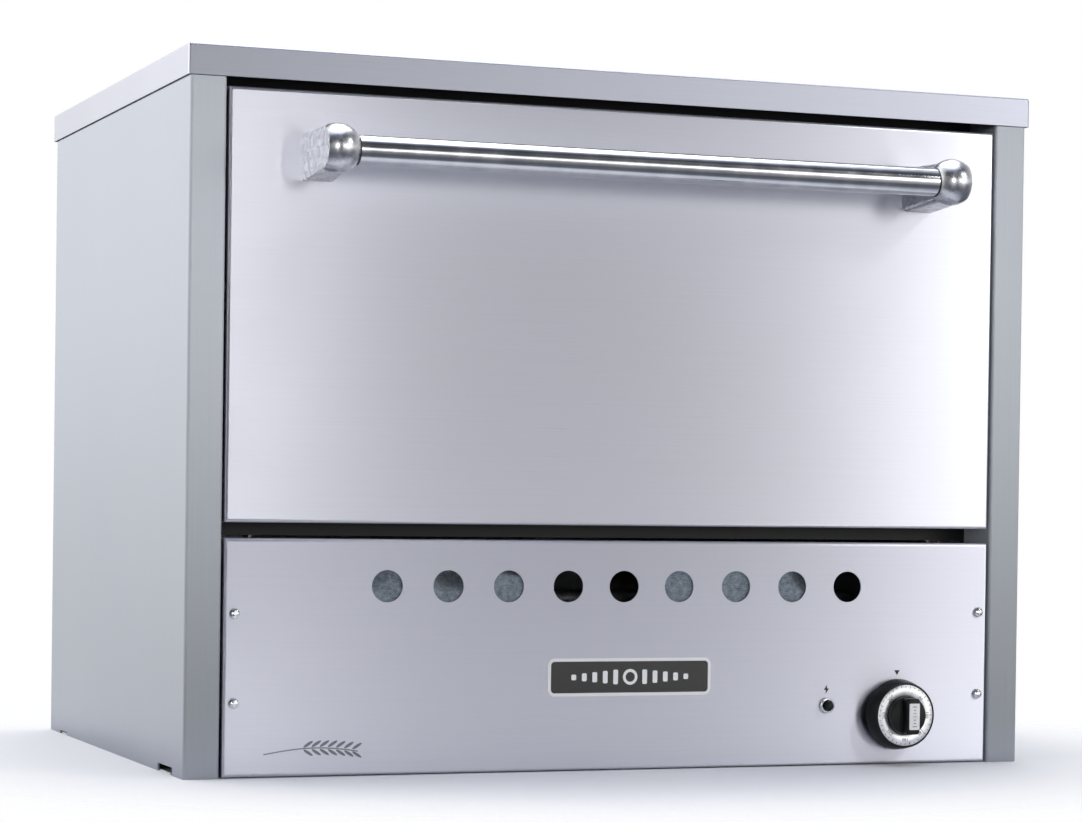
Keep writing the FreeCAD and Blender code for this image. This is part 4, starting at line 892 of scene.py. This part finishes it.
def makeBlanket(label, name, body, material, shape, hollows=(), cells=14):
    # wool that is never quite flat: it keeps inside its solid and sinks in patches
    bm = bmesh.new()
    for low, high in solidBoxes(label):
        part = bmesh.new()
        radius = min(shape["corner"], min(high - low) * 0.3)
        roundedBlock(part, low, high, radius, 3)
        middle, half = (low + high) / 2, (high - low) / 2
        long = [edge for edge in part.edges if edge.calc_length() > shape["patch"]]
        bmesh.ops.subdivide_edges(part, edges=long, cuts=cells, use_grid_fill=True)
        for corner in part.verts:
            sink = 0.5 + 0.5 * noise.noise(corner.co / shape["patch"])
            inward = Vector([-math.copysign(1, corner.co[i] - middle[i])
                             if abs(corner.co[i] - middle[i]) > half[i] * 0.97 else 0 for i in range(3)])
            corner.co += inward * sink * shape["swell"]
            for across, up, reach, deep in hollows:
                away = math.hypot(corner.co.x - across * mm, corner.co.z - up * mm) / (reach * mm)
                if away < 1 and corner.co.y < middle.y:
                    corner.co.y += deep * mm * (1 - away * away) ** 2 * 0.98
        addInto(bm, part)
    piece = finishPiece(bm, name, body, material, angle=60)
    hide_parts(label)


for label, body in (("side_insulation", "casing"), ("top_insulation", "casing"),
                    ("back_insulation", "casing"), ("door_insulation", "door")):
    makeBlanket(label, label + "_blanket", body, finish["wool"], woolShape)
makeBlanket("front_insulation_pads", "front_insulation_blanket", "casing", finish["wool"],
            woolShape, hollows=woolShape["hollows"], cells=26)
print("linings made")


# door gasket
gasketShape = {
    "wide": 10 * mm,
    # the tape's section, as shares of its width and thickness
    "section": ((0, 0), (0, 0.6), (0.12, 0.9), (0.3, 1), (0.7, 1), (0.88, 0.9), (1, 0.6), (1, 0)),
}


def makeGasket(shape):
    low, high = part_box("door_gasket")
    wide, section = shape["wide"], shape["section"]
    bm = bmesh.new()
    thick = high.y - low.y
    outer = roundedOutline(high.x - low.x, high.z - low.z, wide, 6)
    centre = (low + high) / 2
    rows = []
    inner = roundedOutline(high.x - low.x - 2 * wide, high.z - low.z - 2 * wide, wide * 0.3, 6)
    for near, far in zip(outer, inner):
        spots = []
        for across, up in section:
            point = near.lerp(far, across)
            spots.append(bm.verts.new((centre.x + point.x, low.y + up * thick, centre.z + point.z)))
        rows.append(spots)
    for row, following in zip(rows, rows[1:] + rows[:1]):
        for i in range(len(section)):
            j = (i + 1) % len(section)
            bm.faces.new((row[i], row[j], following[j], following[i]))
    piece = finishPiece(bm, "door_seal", "door", finish["gasket"], angle=60)
    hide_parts("door_gasket")


makeGasket(gasketShape)


# door springs
springShape = {"wire": 1.25 * mm, "wireSides": 10, "turns": 6, "stepsPerTurn": 28}   # wire is a radius


def makeSpring(side, shape):
    label = "door_spring_" + side
    low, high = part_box(label)
    centre = (low + high) / 2
    radius = (high.z - low.z) / 2 - shape["wire"]
    bm = bmesh.new()
    start = bmesh.ops.create_circle(bm, segments=shape["wireSides"], radius=shape["wire"],
                                    cap_ends=False)["verts"]
    bmesh.ops.rotate(bm, cent=(0, 0, 0), matrix=Matrix.Rotation(math.radians(90), 3, "X"), verts=start)
    bmesh.ops.translate(bm, vec=(radius, 0, 0), verts=start)
    rise = (high.x - low.x - 2 * shape["wire"]) / shape["turns"]
    geometry = bm.verts[:] + bm.edges[:]
    bmesh.ops.spin(bm, geom=geometry, cent=(0, 0, 0), axis=(0, 0, 1), angle=math.tau * shape["turns"],
                   dvec=(0, 0, rise / shape["stepsPerTurn"]), steps=shape["turns"] * shape["stepsPerTurn"],
                   use_merge=False, use_duplicate=False)
    ends = [edge for edge in bm.edges if edge.is_boundary]
    bmesh.ops.holes_fill(bm, edges=ends, sides=12)
    moveAll(bm, turnAcross((low.x + shape["wire"], centre.y, centre.z)))
    piece = finishPiece(bm, label + "_coil", None, finish["spring"], angle=60)
    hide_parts(label)
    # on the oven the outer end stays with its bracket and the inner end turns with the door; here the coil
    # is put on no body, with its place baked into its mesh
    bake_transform(piece)


for side in ("left", "right"):
    makeSpring(side, springShape)
print("gasket and springs made")


# floor and light
floorShape = {"size": 6.0, "solidTo": 0.42, "goneBy": 0.8}


def makeFloor(shape):
    # a pale floor that fades into the white backdrop
    bm = bmesh.new()
    bmesh.ops.create_grid(bm, x_segments=1, y_segments=1, size=shape["size"])
    mesh = bpy.data.meshes.new("studio_floor")
    bm.to_mesh(mesh)
    bm.free()
    floor = bpy.data.objects.new("studio_floor", mesh)
    floor.location.z = cadBox[0][2]
    scene.collection.objects.link(floor)
    material, tree, shader, place = startMaterial("paleFloor", {"Roughness": 0.8,
                                                                "Specular IOR Level": 0.1})
    clouded = tint(tree, pattern(tree, place, (3, 3, 3)), "#F4F4F5", "#F8F8F9")
    tree.links.new(clouded, shader.inputs["Base Color"])
    flat = addNode(tree, "ShaderNodeVectorMath", {"operation": "LENGTH"}, {0: place}).outputs["Value"]
    fade = addNode(tree, "ShaderNodeMapRange", {"interpolation_type": "SMOOTHSTEP", 1: shape["solidTo"],
                                                2: shape["goneBy"], 3: 1.0, 4: 0.0}, {0: flat}).outputs[0]
    tree.links.new(fade, shader.inputs["Alpha"])
    mesh.materials.append(material)


# the studio as the metal sees it, in degrees: bearings go from straight ahead of the oven round
# to its right, and heights from the horizon
studioLight = {
    "backdrop": ("#FFFFFF", 1.0),
    "screenTone": "#FFFEFB",
    "roomTone": "#E2E9FB",
    "room": ((-90, 0.45), (-58, 0.45), (-48, 0.16), (-6, 0.10), (0, 0.06), (48, 0.08), (60, 0.3), (67, 2.2),
             (78, 2.2), (90, 1.3)),
    # each screen is a level by bearing and a share of it by height above the horizon
    "frontScreens": (
        ((-180, 0), (-60, 0), (-21, 0.2), (-18, 5.2), (-12, 5.2), (-9, 0.1), (6, 0.1), (12.8, 0.3),
         (13.4, 5.4), (15.1, 5.4), (15.7, 1.1), (20, 1.0), (22.7, 1.0), (25, 1.15), (26.5, 1.5), (28, 2.4),
         (29.5, 2.7), (34, 2.7), (43, 1.6), (60, 0.5), (100, 0), (180, 0)),
        ((-30, 0), (-12, 0.15), (-6, 0.35), (-1, 0.85), (2, 1.6), (7, 1.8), (11, 0.8), (15, 0.3), (20, 0.03),
         (34, 0.03), (42, 0))),
    "sideScreens": (
        ((-180, 1.4), (-173, 1.6), (-162, 2.0), (-150, 5.4), (-100, 5.4), (-60, 0), (60, 0), (100, 1.0),
         (150, 1.4), (180, 1.4)),
        ((-30, 0), (-10, 0.26), (-1, 0.36), (3.5, 0.5), (8, 0.5), (15, 0.66), (24, 0.66), (33, 0.28),
         (52, 0.22), (64, 0))),
}


def makeWorld(light):
    world = bpy.data.worlds.new("studio")
    scene.world = world
    world.use_nodes = True
    tree = world.node_tree
    tree.nodes.clear()

    def plan(source, stops, span):
        # a run of levels by angle
        ramp = addNode(tree, "ShaderNodeValToRGB", links={
            "Fac": addNode(tree, "ShaderNodeMapRange", {1: -span, 2: span}, {0: source}).outputs[0]})
        bar = ramp.color_ramp
        top = max(level for angle, level in stops)
        while len(bar.elements) < len(stops):
            bar.elements.new(0.5)
        for element, (angle, level) in zip(bar.elements, stops):
            element.position = (angle + span) / (2 * span)
            element.color = (level / top, level / top, level / top, 1)
        return addNode(tree, "ShaderNodeMath", {"operation": "MULTIPLY", 1: top},
                       {0: ramp.outputs["Color"]}).outputs[0]

    facing = addNode(tree, "ShaderNodeTexCoord").outputs["Generated"]
    split = addNode(tree, "ShaderNodeSeparateXYZ", links={"Vector": facing}).outputs
    ahead = addNode(tree, "ShaderNodeMath", {"operation": "MULTIPLY", 1: -1.0}, {0: split["Y"]}).outputs[0]
    turned = addNode(tree, "ShaderNodeMath", {"operation": "ARCTAN2"}, {0: split["X"], 1: ahead}).outputs[0]
    raised = addNode(tree, "ShaderNodeMath", {"operation": "ARCSINE"}, {0: split["Z"]}).outputs[0]
    bearing = addNode(tree, "ShaderNodeMath", {"operation": "DEGREES"}, {0: turned}).outputs[0]
    height = addNode(tree, "ShaderNodeMath", {"operation": "DEGREES"}, {0: raised}).outputs[0]
    seen = addNode(tree, "ShaderNodeBackground", {"Color": hexColour(light["roomTone"])},
                   {"Strength": plan(height, light["room"], 90)})
    for around, upright in (light["frontScreens"], light["sideScreens"]):
        level = addNode(tree, "ShaderNodeMath", {"operation": "MULTIPLY"},
                        {0: plan(bearing, around, 180), 1: plan(height, upright, 90)}).outputs[0]
        screen = addNode(tree, "ShaderNodeBackground", {"Color": hexColour(light["screenTone"])},
                         {"Strength": level})
        seen = addNode(tree, "ShaderNodeAddShader", links={0: seen.outputs[0], 1: screen.outputs[0]})
    backdrop = addNode(tree, "ShaderNodeBackground", {"Color": hexColour(light["backdrop"][0]),
                                                      "Strength": light["backdrop"][1]})
    ray = addNode(tree, "ShaderNodeLightPath").outputs["Is Camera Ray"]
    both = addNode(tree, "ShaderNodeMixShader", links={0: ray, 1: seen.outputs[0], 2: backdrop.outputs[0]})
    addNode(tree, "ShaderNodeOutputWorld", links={"Surface": both.outputs[0]})


softBoxes = (   # name, place, aim, size and watts
    ("overhead_box", (0.4, 0.5, 2.8), (0, 0, 0.3), (2.0, 1.6), 26),
    ("right_box", (2.2, -2.4, 2.0), (0.2, 0, 0.2), (0.7, 0.7), 14),
)


def softBox(name, place, aim, size, power):
    data = bpy.data.lights.new(name, "AREA")
    data.shape = "RECTANGLE"
    data.size, data.size_y = size
    data.energy = power
    lamp = bpy.data.objects.new(name, data)
    lamp.location = place
    lamp.rotation_euler = (Vector(aim) - Vector(place)).to_track_quat("-Z", "Y").to_euler()
    scene.collection.objects.link(lamp)


makeFloor(floorShape)
makeWorld(studioLight)
for settings in softBoxes:
    softBox(*settings)
print("studio made")
